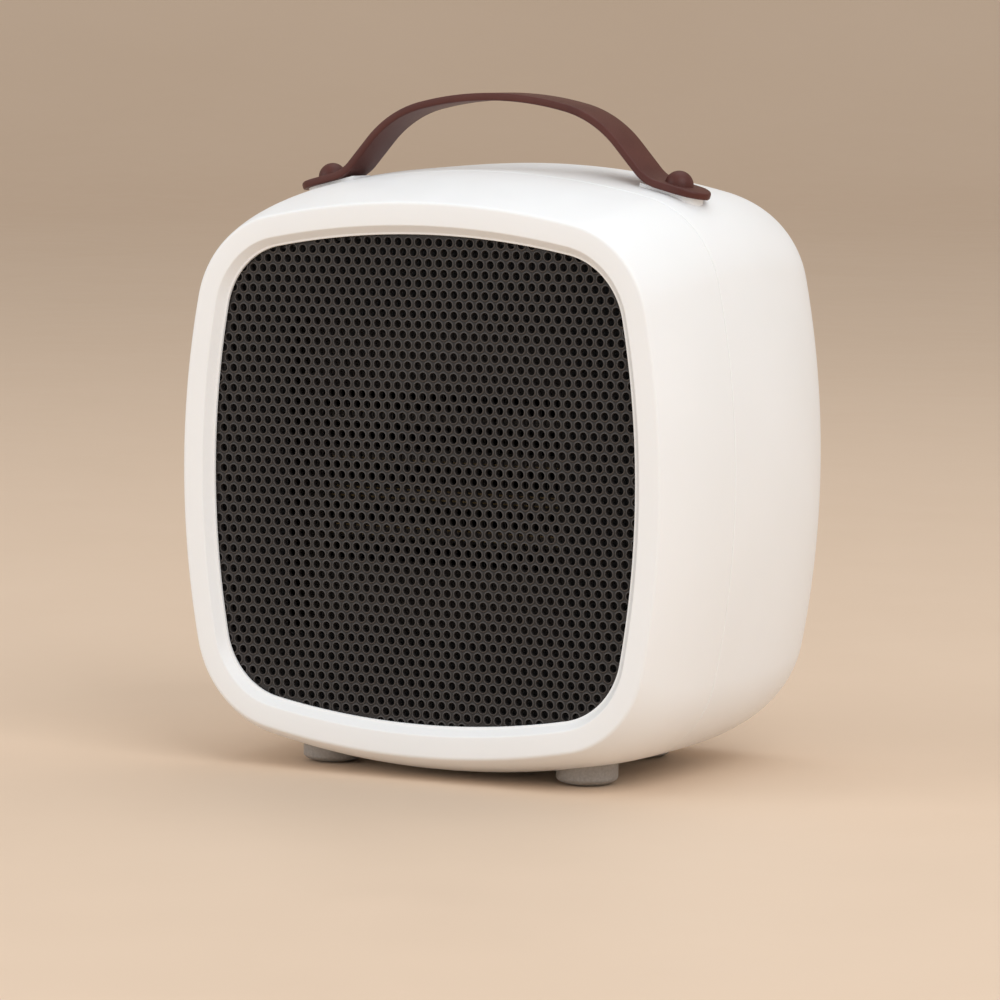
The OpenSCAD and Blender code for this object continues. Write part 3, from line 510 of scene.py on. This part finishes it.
def strap_brown():
    """Soft-touch elastomer: brown, satin, with a fine leathery grain and a rubbed lighter tone."""
    n = Nodes("strap_brown")
    grain = n.voronoi(0.55 * MM)
    fine = n.noise(0.16 * MM, detail=3)
    rub = n.noise(9 * MM, detail=5)
    pits = n.bump(grain, 0.025 * MM)
    return n.finish(
        color=n.ramp(rub, (0.066, 0.013, 0.008), (0.086, 0.020, 0.013)),
        roughness=n.span(fine, 0.44, 0.58),
        normal=n.bump(fine, 0.010 * MM, under=pits),
        Specular_IOR_Level=0.35,
    )


def foot_rubber():
    """Translucent grey rubber with fine dust on it."""
    n = Nodes("foot_rubber")
    dust = n.noise(0.8 * MM, detail=5)
    return n.finish(
        color=n.ramp(dust, (0.36, 0.33, 0.30), (0.47, 0.44, 0.41)),
        roughness=n.span(dust, 0.42, 0.62),
        normal=n.bump(n.noise(0.3 * MM), 0.01 * MM),
        Subsurface_Weight=0.35,
        Subsurface_Radius=(0.004, 0.003, 0.0025),
        Transmission_Weight=0.15,
    )


def ceramic():
    """Sintered PTC stone: chalky and matt, its tone painted dark as shade inside the casing, with dark
    specks and a coarse fired grain.
    """
    n = Nodes("ptc_ceramic")
    specks = n.voronoi(0.5 * MM)
    return n.finish(
        color=n.ramp(specks, (0.030, 0.027, 0.025), (0.075, 0.068, 0.062), at=(0.04, 0.3)),
        roughness=n.span(n.noise(0.4 * MM), 0.7, 0.9),
        normal=n.bump(specks, 0.03 * MM),
    )


def board_green():
    """Solder mask over copper tracks, with bare vias."""
    n = Nodes("board_green")
    tracks = n.add("ShaderNodeTexBrick")
    tracks.inputs["Scale"].default_value = 1 / (9 * MM)
    tracks.inputs["Mortar Size"].default_value = 0.035
    tracks.inputs["Color1"].default_value = (0.012, 0.10, 0.045, 1)
    tracks.inputs["Color2"].default_value = (0.016, 0.12, 0.052, 1)
    tracks.inputs["Mortar"].default_value = (0.05, 0.24, 0.09, 1)
    n.link(n.place, tracks.inputs["Vector"])
    vias = n.span(n.voronoi(3.4 * MM), 1, 0, at=(0.10, 0.14))
    return n.finish(
        color=n.mix(vias, tracks.outputs["Color"], (0.55, 0.52, 0.42)),
        roughness=n.span(n.noise(2 * MM), 0.22, 0.36),
        normal=n.bump(tracks.outputs["Fac"], 0.03 * MM),
    )


def floor_plain():
    """Plain pale matt floor with the faintest unevenness."""
    n = Nodes("floor_plain")
    cloud = n.noise(0.4, detail=3)
    return n.finish(
        color=n.ramp(cloud, (0.730, 0.560, 0.415), (0.745, 0.575, 0.430)),
        roughness=n.span(n.noise(0.05), 0.55, 0.65),
        normal=n.bump(n.noise(0.004, detail=2), 0.02 * MM),
    )


# ---------------------------------------------------------------- front casing and grille

LIP = 0.7 * MM
REBATE = GRILLE_LAP + 0.3 * MM
RIM_BACK_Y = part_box("grille_frame")[0].y + 1.2 * MM
TONGUE_L = 4 * MM
TONGUE_INSET = 1.3 * MM
RING_H = 0.34 * MM


def stretch(start, end, count, power=1.0):
    """Evenly or unevenly spaced values from start to end, both included."""
    return [start + (end - start) * (i / count) ** power for i in range(count + 1)]


def front_shell(material):
    """Rim, bevel and lip round the outlet, the swelling skin back to the seam, and the tongue."""
    edge_y = SEAM_Y - SEAM_GAP / 2
    tongue_y = SEAM_Y + TONGUE_L
    profile = [
        (opening_ring(RIM_BACK_Y, REBATE), 0),
        (opening_ring(GRILLE_Y, REBATE), 0),
        (opening_ring(GRILLE_Y, 0), 0.1 * MM),
        (opening_ring(GRILLE_Y - 0.9 * MM, 0.05 * MM), 0.3 * MM),
        (opening_ring(GRILLE_Y - 1.0 * MM, LIP), 0.25 * MM),
        (opening_ring(FRONT_Y, BEVEL), 0.35 * MM),
        ([Vector((x, FRONT_Y, z + FRONT_Z)) for x, z in outline(FRONT_HALF, SIDE_BOW, CORNER)], 0.9 * MM),
    ]
    profile += [(body_ring(y), 0) for y in stretch(FRONT_Y + 1.5 * MM, edge_y - 1 * MM, 30, 1.5)]
    profile += [
        (body_ring(edge_y), 0.3 * MM),
        (body_ring(edge_y, TONGUE_INSET), 0),
        (body_ring(tongue_y, TONGUE_INSET), 0),
        (body_ring(tongue_y, WALL), 0),
    ]
    profile += [(body_ring(y, WALL), 0) for y in stretch(SEAM_Y, RIM_BACK_Y, 10)]
    rings = soften([ring for ring, cut in profile], [cut for ring, cut in profile], loop=True)
    shell = new_object("front_casing", *loft(rings, loop=True), material, sharp_deg=30)
    add_foot_seats(shell, FOOT_SPOTS[:2])
    return place(shell, CASING, ["front_shell"])


FOOT_R = 10 * MM
FOOT_SINK = 1.6 * MM
FOOT_FLAT_R = 4 * MM
FOOT_DOME_H = 2.4 * MM
FRONT_FOOT_X = feet_hi.x - FOOT_R
REAR_FOOT_X = 33 * MM
FOOT_SPOTS = [
    (-FRONT_FOOT_X, feet_lo.y + FOOT_R),
    (FRONT_FOOT_X, feet_lo.y + FOOT_R),
    (-REAR_FOOT_X, feet_hi.y - FOOT_R),
    (REAR_FOOT_X, feet_hi.y - FOOT_R),
]


def add_foot_seats(shell, spots):
    """Flat seats for one pair of feet, with sockets that the feet sit in."""
    for x, y in spots:
        low, high = Vector((x, y, feet_hi.z - FOOT_SINK)), Vector((x, y, feet_hi.z))
        rise = Vector((0, 0, 3.9 * MM))
        carve(shell, cylinder_part(FOOT_R + 0.6 * MM, low, high + rise), "UNION")
        carve(shell, cylinder_part(FOOT_R + 0.05 * MM, Vector((x, y, FOOT_DOME_H)), high), "DIFFERENCE")


HOLE_PITCH = 3.8 * MM
HOLE_R = 1.20 * MM
THROAT_R = 1.27 * MM
CREST_IN_R = 1.40 * MM
CREST_OUT_R = 1.60 * MM
RING_R = 1.80 * MM
LATTICE_X = 0.53 * MM
LATTICE_Z = 0.38 * MM


def outside_by(x, z, offset=0.0):
    """How far a point (x, z about the outlet's middle) lies outside the outlet's edge, about."""
    half = OUTLET_HALF + offset
    corner = OUTLET_CORNER + offset
    bow = OUTLET_BOW + offset
    c = corner_centre(half, bow, corner)
    u, v = max(abs(x), abs(z)), min(abs(x), abs(z))
    turn = math.atan2(c, c - half + bow)
    if math.atan2(v, u - half + bow) < turn:
        return math.hypot(u - half + bow, v) - bow
    return math.hypot(u - c, v - c) - corner


def pulled_in(x, z, limit):
    """The point, or if it lies further out than limit, a point on the way to the middle that doesn't."""
    over = outside_by(x, z) - limit
    if over <= 0:
        return x, z
    for _ in range(3):
        scale = 1 - over / math.hypot(x, z)
        x, z = x * scale, z * scale
        over = outside_by(x, z) - limit
    return x, z


def front_grille(material):
    """The perforated grille: a hexagonal lattice of holes, each in a low raised ring."""
    row = HOLE_PITCH * math.sqrt(3) / 2
    reach = int(OUTLET_HALF / row) + 3
    front_y = GRILLE_Y + RING_H
    back_y = GRILLE_BACK_Y
    sides = 12
    hex_r = [HOLE_PITCH / 2 if i % 2 == 0 else HOLE_PITCH / math.sqrt(3) for i in range(sides)]
    around = [(math.cos(2 * math.pi * i / sides), math.sin(2 * math.pi * i / sides)) for i in range(sides)]
    cells = {}
    for j in range(-reach, reach + 1):
        for i in range(-reach, reach + 1):
            x = (i + (0.5 if j % 2 else 0)) * HOLE_PITCH + LATTICE_X
            z = j * row + LATTICE_Z
            out = outside_by(x, z)
            if out < HOLE_PITCH * 0.62:
                cells[i, j] = (x, z, out < 0.6 * MM)
    verts, faces = [], []

    def loop_of(x, z, radius, y):
        start = len(verts)
        for k, (cos_k, sin_k) in enumerate(around):
            r = hex_r[k] if radius is None else radius
            px, pz = pulled_in(x + r * cos_k, z + r * sin_k, GRILLE_LAP + 0.1 * MM)
            verts.append((px, y, pz + FRONT_Z))
        return [start + k for k in range(sides)]

    def band(a, b):
        faces.extend((a[k], b[k], b[(k + 1) % sides], a[(k + 1) % sides]) for k in range(sides))

    for (i, j), (x, z, open_hole) in cells.items():
        rim = loop_of(x, z, None, front_y)
        rim_back = loop_of(x, z, None, back_y)
        if open_hole:
            base = loop_of(x, z, RING_R, front_y)
            crest_out = loop_of(x, z, CREST_OUT_R, GRILLE_Y)
            crest_in = loop_of(x, z, CREST_IN_R, GRILLE_Y)
            throat = loop_of(x, z, THROAT_R, GRILLE_Y + 0.3 * MM)
            deep = loop_of(x, z, HOLE_R, back_y)
            for outer, inner in pairwise([rim, base, crest_out, crest_in, throat, deep, rim_back]):
                band(outer, inner)
        else:
            faces.append(tuple(rim))
            faces.append(tuple(reversed(rim_back)))
        shift = 1 if j % 2 else 0
        around_cell = [(i + 1, j), (i + shift, j + 1), (i + shift - 1, j + 1),
                       (i - 1, j), (i + shift - 1, j - 1), (i + shift, j - 1)]
        for side, neighbour in enumerate(around_cell):
            if neighbour not in cells:
                for k in ((2 * side - 1) % sides, 2 * side):
                    m = (k + 1) % sides
                    faces.append((rim[k], rim_back[k], rim_back[m], rim[m]))
    grille = new_object("outlet_grille", verts, faces, material, sharp_deg=62, merge=0.004 * MM)
    return place(grille, CASING, ["front_grille"])


# ---------------------------------------------------------------- rear casing


def rear_shell(material):
    """The rear casing: skin from the seam round to the flat back, with its openings and seats."""
    edge_y = SEAM_Y + SEAM_GAP / 2
    step_y = SEAM_Y + TONGUE_L + 0.3 * MM
    lap_inset = TONGUE_INSET - 0.2 * MM
    tuck_y = BACK_Y - TUCK_DEPTH
    skin = stretch(edge_y + 1 * MM, tuck_y + 1 * MM, 8)
    skin += [
        tuck_y + TUCK_DEPTH * math.sin(math.radians(w)) ** (2 / TUCK_POWER)
        for w in stretch(6, 90, 42)
    ]
    inner = [y - WALL for y in skin if y - WALL > step_y + 1 * MM]
    profile = [(body_ring(y, WALL), 0) for y in reversed(inner)]
    profile += [
        (body_ring(step_y, WALL), 0),
        (body_ring(step_y, lap_inset), 0),
        (body_ring(edge_y, lap_inset), 0),
        (body_ring(edge_y), 0.3 * MM),
    ]
    profile += [(body_ring(y), 0) for y in skin]
    rings = soften([ring for ring, cut in profile], [cut for ring, cut in profile])
    shell = new_object("rear_casing", *loft(rings, caps=True), material, sharp_deg=30)
    add_foot_seats(shell, FOOT_SPOTS[2:])
    for part, operation in rear_features():
        carve(shell, part, operation)
    return place(shell, CASING, ["rear_shell"])


SCREW_HEAD_R = 2.5 * MM
SCREW_HEAD_H = 1.6 * MM
WELL_R = 3.4 * MM
WELL_WALL = 1.6 * MM
INTAKE_R = 53 * MM
GUARD_SEAT = 1.6 * MM
BOSS_DEPTH = 9 * MM
GLAND_SEAT = 1.2 * MM
GLAND_HOLE_R = 6 * MM
GUIDE_R = 6.2 * MM
GUIDE_LOW = 3 * MM
GUIDE_HIGH = 6.8 * MM
PLUNGER_HOLE_R = 3.9 * MM
GUARD_R = (guard_hi.x - guard_lo.x) / 2
GUARD_Z = (guard_hi.z + guard_lo.z) / 2
SEAT_TILT = math.radians(14)
RIVET_X = 65 * MM
STRAP_W = strap_hi.y - strap_lo.y
STRAP_T = 2.5 * MM
STRAP_Y = (strap_lo.y + strap_hi.y) / 2
STRAP_SEAT_Z = BODY_TOP - 8.3 * MM


def seat_matrix(side):
    """Where a strap seat is: +Z out of the seat, +X towards the strap's tip."""
    return (
        Matrix.Scale(side, 4, Vector((1, 0, 0)))
        @ Matrix.Translation((RIVET_X, STRAP_Y, STRAP_SEAT_Z))
        @ Matrix.Rotation(SEAT_TILT, 4, "Y")
    )


def strap_end_prism(margin, side, low, high):
    """The outline of a strap's end, with a round tip, as a prism out of the seat."""
    w = STRAP_W / 2 + margin
    tip = (strap_hi.x - RIVET_X) / math.cos(SEAT_TILT) + margin - w
    flat = [(-11 * MM, w), (-11 * MM, -w)]
    flat += [
        (tip + w * math.cos(a), w * math.sin(a))
        for a in (math.radians(d) for d in range(-90, 91, 6))
    ]
    spot = seat_matrix(side)
    return loft([[spot @ Vector((x, y, z)) for x, y in flat] for z in (low, high)], caps=True)


def rear_features():
    """What is cut into the rear casing or added to it, as (shape, operation) pairs."""
    cut, add = "DIFFERENCE", "UNION"
    clear = 0.15 * MM
    behind = BACK_Y + 1 * MM
    features = []
    for side in (-1, 1):
        features.append((strap_end_prism(-2.2 * MM, side, -5 * MM, 0), add))
        features.append((strap_end_prism(0.35 * MM, side, 0, 8 * MM), cut))
    features.append((rod_y(GUARD_R + clear, 0, GUARD_Z, BACK_Y - GUARD_SEAT, behind, 128), cut))
    features.append((rod_y(INTAKE_R, 0, GUARD_Z, BACK_Y - 8 * MM, behind, 128), cut))
    well_x = wells_hi.x - SCREW_HEAD_R
    for x in (-well_x, well_x):
        for z in (wells_lo.z + SCREW_HEAD_R, wells_hi.z - SCREW_HEAD_R):
            features.append((rod_y(WELL_R + WELL_WALL, x, z, wells_hi.y, BACK_Y - 1 * MM), add))
            features.append((rod_y(WELL_R, x, z, wells_hi.y - SCREW_HEAD_H, behind), cut))
    flange = rectangle(rocker_lo.x - clear, rocker_lo.z - clear, rocker_hi.x + clear, rocker_hi.z + clear)
    features.append((prism_y(flange, BACK_Y - 1 * MM, behind), cut))
    inset = 1.8 * MM
    case = rectangle(rocker_lo.x + inset, rocker_lo.z + inset, rocker_hi.x - inset, rocker_hi.z - inset)
    features.append((prism_y(case, BACK_Y - BOSS_DEPTH, behind), cut))
    gland_x, gland_z = (gland_lo.x + gland_hi.x) / 2, (gland_lo.z + gland_hi.z) / 2
    gland_r = (gland_hi.x - gland_lo.x) / 2
    features.append((rod_y(gland_r + clear, gland_x, gland_z, BACK_Y - GLAND_SEAT, behind), cut))
    features.append((rod_y(GLAND_HOLE_R, gland_x, gland_z, BACK_Y - BOSS_DEPTH, behind), cut))
    plunger = (plunger_lo + plunger_hi) / 2
    spot = Vector((plunger.x, plunger.y, 0))
    up = Vector((0, 0, 1))
    features.append((cylinder_part(GUIDE_R, spot + up * GUIDE_LOW, spot + up * GUIDE_HIGH), add))
    features.append((cylinder_part(PLUNGER_HOLE_R, spot - up * (1 * MM), spot + up * (20 * MM)), cut))
    return features


# ---------------------------------------------------------------- strap, rivets and feet

CROWN_R = 117 * MM
CROWN_END = math.radians(13.5)
SHOULDER_R = 38 * MM
LEAN = math.radians(48)
STRAP_FOOT_R = 14 * MM
ARC_STEP = math.radians(1.5)


def strap_path():
    """The right half of the strap's middle line, as (x, z, slope below level) from crown to tip."""
    path = []
    x, z, slope = 0.0, strap_hi.z - STRAP_T / 2, 0.0

    def arc(radius, end, sign):
        nonlocal x, z, slope
        steps = max(2, math.ceil(abs(end - slope) / ARC_STEP))
        x0, z0, start = x, z, slope
        for i in range(1, steps + 1):
            w = start + (end - start) * i / steps
            x = x0 + sign * radius * (math.sin(w) - math.sin(start))
            z = z0 + sign * radius * (math.cos(w) - math.cos(start))
            slope = w
            path.append((x, z, slope))

    def run(length, steps):
        nonlocal x, z
        for _ in range(steps):
            x += length / steps * math.cos(slope)
            z -= length / steps * math.sin(slope)
            path.append((x, z, slope))

    path.append((x, z, slope))
    arc(CROWN_R, CROWN_END, 1)
    arc(SHOULDER_R, LEAN, 1)
    seat_z = STRAP_SEAT_Z + STRAP_T / 2 / math.cos(SEAT_TILT)
    arc_dx = STRAP_FOOT_R * (math.sin(LEAN) - math.sin(SEAT_TILT))
    arc_dz = STRAP_FOOT_R * (math.cos(SEAT_TILT) - math.cos(LEAN))
    fall = z - arc_dz - seat_z + (x + arc_dx - RIVET_X) * math.tan(SEAT_TILT)
    run(fall / (math.tan(LEAN) - math.tan(SEAT_TILT)) / math.cos(LEAN), 4)
    arc(STRAP_FOOT_R, SEAT_TILT, -1)
    run((strap_hi.x - x) / math.cos(SEAT_TILT), 24)
    return path


def strap_section(half, thick, edge=0.75 * MM):
    """A flat section with round edges, as (across, up) points."""
    edge = min(edge, half * 0.9, thick * 0.45)
    points = []
    for cx, cz, start in ((1, 1, 0), (-1, 1, 90), (-1, -1, 180), (1, -1, 270)):
        for k in range(6):
            w = math.radians(start + 18 * k)
            points.append((
                cx * (half - edge) + edge * math.cos(w),
                cz * (thick / 2 - edge) + edge * math.sin(w),
            ))
    return points


def handle_strap(material):
    """The carrying strap: a flat band with soft edges, round ends and a slightly thinner tip."""
    right = strap_path()
    path = [(-x, z, -slope) for x, z, slope in reversed(right[1:])] + right
    tip_x = strap_hi.x
    end_r = STRAP_W / 2
    rings = []
    for x, z, slope in path:
        past = max(0.0, abs(x) - (tip_x - end_r))
        half = math.sqrt(max(0.0, end_r**2 - past**2))
        half = max(half, 0.9 * MM)
        thick = STRAP_T * (1 - 0.22 * (past / end_r) ** 3)
        across = Vector((0, 1, 0))
        up = Vector((math.sin(slope), 0, math.cos(slope)))
        centre = Vector((x, STRAP_Y, z)) - up * (STRAP_T - thick) / 2
        rings.append([centre + across * a + up * b for a, b in strap_section(half, thick)])
    strap = new_object("carrying_strap", *loft(rings, caps=True), material, sharp_deg=60)
    return place(strap, CASING, ["handle_strap"])


def handle_rivets(material):
    """Two domed rivet heads with a small flared foot, on shanks through the strap."""
    r = 4.7 * MM
    dome = [(r * math.cos(w), STRAP_T - 0.5 * MM + r * math.sin(w)) for w in
            (math.radians(d) for d in range(9, 90, 5))]
    profile = [(0, 0), (2.4 * MM, 0), (2.4 * MM, STRAP_T), (r, STRAP_T + 0.02 * MM)] + dome
    profile.append((0, STRAP_T - 0.5 * MM + r))
    parts = [lathe(profile, seat_matrix(side), 64) for side in (-1, 1)]
    rivets = new_object("strap_rivets", *join(parts), material, sharp_deg=50, merge=0.002 * MM)
    return place(rivets, CASING, ["handle_rivets"])


def feet(material):
    """Four rubber feet, domed underneath round a small flat, with a soft top edge."""
    dome = [
        (FOOT_FLAT_R + (FOOT_R - FOOT_FLAT_R) * math.sin(w), FOOT_DOME_H * (1 - math.cos(w)))
        for w in (math.radians(d) for d in range(0, 91, 6))
    ]
    top = feet_hi.z
    profile = [(0, 0)] + dome + [(FOOT_R, top - 0.3 * MM), (FOOT_R - 0.3 * MM, top), (0, top)]
    parts = [lathe(profile, Matrix.Translation((x, y, 0)), 72) for x, y in FOOT_SPOTS]
    pads = new_object("rubber_feet", *join(parts), material, merge=0.002 * MM)
    return place(pads, CASING, ["feet"])


# ---------------------------------------------------------------- build


def dress(nodes, material):
    """Gives CAD nodes that keep their shape a finished material."""
    for name in nodes:
        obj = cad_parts[name]
        obj.data.materials.clear()
        obj.data.materials.append(material)


def build_pieces():
    white = shell_white()
    brown = strap_brown()
    front_shell(white)
    rear_shell(white)
    front_grille(grille_charcoal())
    handle_strap(brown)
    handle_rivets(brown)
    feet(foot_rubber())


def dress_nodes():
    steel = metal("zinc_steel", (0.56, 0.56, 0.58), 0.36)
    shaft = metal("ground_steel", (0.62, 0.62, 0.63), 0.22, brushed=(1, 0.1, 1))
    black = moulded("frame_black", (0.012, 0.012, 0.013), 0.5)
    duct = moulded("duct_grey", (0.030, 0.028, 0.028), 0.6, depth=0.02 * MM)
    nylon = moulded("nylon_natural", (0.70, 0.66, 0.57), 0.42, tint=0.1)
    dress(["grille_screws", "tie_screws", "duct_screws", "bracket_screws", "motor_screws", "fan_clip",
           "rear_grille_screws", "board_screws", "strap_washers", "strap_screws",
           "motor_can", "tip_spring", "tip_lever"], steel)
    dress(["motor_shaft"], shaft)
    dress(["grille_frame", "rocker_frame", "cord_gland", "gland_nut", "tip_switch", "motor_cap"], black)
    dress(["rocker_button"], moulded("rocker_black", (0.02, 0.02, 0.021), 0.32, grain=0.2 * MM))
    dress(["relays"], moulded("relay_blue", (0.03, 0.09, 0.28), 0.3))
    dress(["air_duct", "motor_bracket", "fan"], duct)
    # Painted shade: the heater's frame and holders, the PTC stones and the brass electrodes get darkened
    # tones that stand in for the shade inside the casing behind the grille.
    dress(["heater_frame", "heater_holders"], moulded("heater_board", (0.022, 0.016, 0.013), 0.6, tint=0.35))
    dress(["ptc_stones"], ceramic())
    dress(["ptc_electrodes", "motor_bushes"], metal("electrode_brass", (0.20, 0.15, 0.075), 0.45))
    fins = metal("fin_alloy", (0.055, 0.052, 0.050), 0.6, brushed=(1, 0.15, 1))
    dress(["heater_fins", "thermal_fuse"], fins)
    dress(["thermostat"], moulded("phenolic_brown", (0.17, 0.06, 0.03), 0.4, tint=0.3))
    laminations = metal("armature_iron", (0.26, 0.24, 0.22), 0.5, brushed=(0.3, 4, 0.3), depth=0.05 * MM)
    dress(["armature"], laminations)
    dress(["commutator"], metal("commutator_copper", (0.68, 0.33, 0.17), 0.28, brushed=(1, 0.1, 1)))
    dress(["motor_magnets", "motor_brushes"], moulded("ferrite_black", (0.03, 0.03, 0.033), 0.6, tint=0.3))
    dress(["tip_plunger", "tip_bracket"], nylon)
    dress(["control_board"], board_green())
    dress(["terminal_block"], moulded("terminal_green", (0.03, 0.22, 0.10), 0.35))
    dress(["capacitor"], moulded("capacitor_yellow", (0.62, 0.40, 0.05), 0.28))
    dress(["rear_grille"], shell_white("guard_white"))


# ---------------------------------------------------------------- stage, light and camera


VIEW_AZIMUTH = math.radians(30.42)
VIEW_ELEVATION = math.radians(5.42)
VIEW_ROLL = math.radians(0.35)
VIEW_DISTANCE = 1.63
VIEW_SHIFT = Vector((-4.3 * MM, 0, -24.1 * MM))


def stage():
    """A plain pale floor that curves up into a backdrop behind the heater."""
    half, back, radius, height = 9.0, 5.0, 3.0, 8.0
    away = Vector((-math.sin(VIEW_AZIMUTH), math.cos(VIEW_AZIMUTH), 0))
    across = Vector((math.cos(VIEW_AZIMUTH), math.sin(VIEW_AZIMUTH), 0))
    turns = [math.radians(5 * k) for k in range(19)]
    path = [(-half, 0)] + [(back + radius * math.sin(w), radius * (1 - math.cos(w))) for w in turns]
    path.append((back + radius, height))
    rows = [[away * d + Vector((0, 0, z)) + across * side for side in (-half, half)] for d, z in path]
    verts = [v for row in rows for v in row]
    faces = [(2 * k, 2 * k + 1, 2 * k + 3, 2 * k + 2) for k in range(len(rows) - 1)]
    new_object("floor", verts, faces, floor_plain(), sharp_deg=80)


def soft_light(name, spot, aim, size, watts, color):
    """A square softbox at a place, aimed at a point."""
    lamp = bpy.data.lights.new(name, "AREA")
    lamp.shape = "SQUARE"
    lamp.size = size
    lamp.energy = watts
    lamp.color = color
    obj = bpy.data.objects.new(name, lamp)
    obj.location = spot
    obj.rotation_mode = "QUATERNION"
    obj.rotation_quaternion = (Vector(aim) - Vector(spot)).to_track_quat("-Z", "Y")
    bpy.context.scene.collection.objects.link(obj)


def lights():
    """Plain soft studio light: a wide key from the right and above, and a weaker fill."""
    scene = bpy.context.scene
    scene.view_settings.view_transform = "Standard"
    world = bpy.data.worlds.new("studio")
    world.use_nodes = True
    background = world.node_tree.nodes["Background"]
    background.inputs["Color"].default_value = (0.965, 0.985, 1.0, 1)
    background.inputs["Strength"].default_value = 0.66
    scene.world = world
    middle = (0, 0, 0.1)
    soft_light("key", (1.5, -0.9, 1.5), middle, 1.5, 22, (0.985, 0.99, 1.0))
    soft_light("fill", (-1.6, -1.6, 0.9), middle, 1.6, 13, (0.975, 0.99, 1.0))
    soft_light("top", (0.0, 0.5, 2.0), middle, 1.4, 7, (0.985, 0.99, 1.0))


def camera():
    """A long lens at the photograph's viewing angle."""
    lo, hi = Vector(cad_box[0]), Vector(cad_box[1])
    aim = (lo + hi) / 2 + VIEW_SHIFT
    back = Vector((
        math.sin(VIEW_AZIMUTH) * math.cos(VIEW_ELEVATION),
        -math.cos(VIEW_AZIMUTH) * math.cos(VIEW_ELEVATION),
        math.sin(VIEW_ELEVATION),
    ))
    data = bpy.data.cameras.new("camera")
    data.sensor_width = 36
    data.lens = 177.8
    data.clip_start, data.clip_end = 0.05, 100
    obj = bpy.data.objects.new("camera", data)
    obj.location = aim + back * VIEW_DISTANCE
    obj.rotation_mode = "QUATERNION"
    turn = (-back).to_track_quat("-Z", "Y")
    obj.rotation_quaternion = turn @ Matrix.Rotation(VIEW_ROLL, 3, "Z").to_quaternion()
    bpy.context.scene.collection.objects.link(obj)
    bpy.context.scene.camera = obj


build_pieces()
dress_nodes()
stage()
lights()
camera()
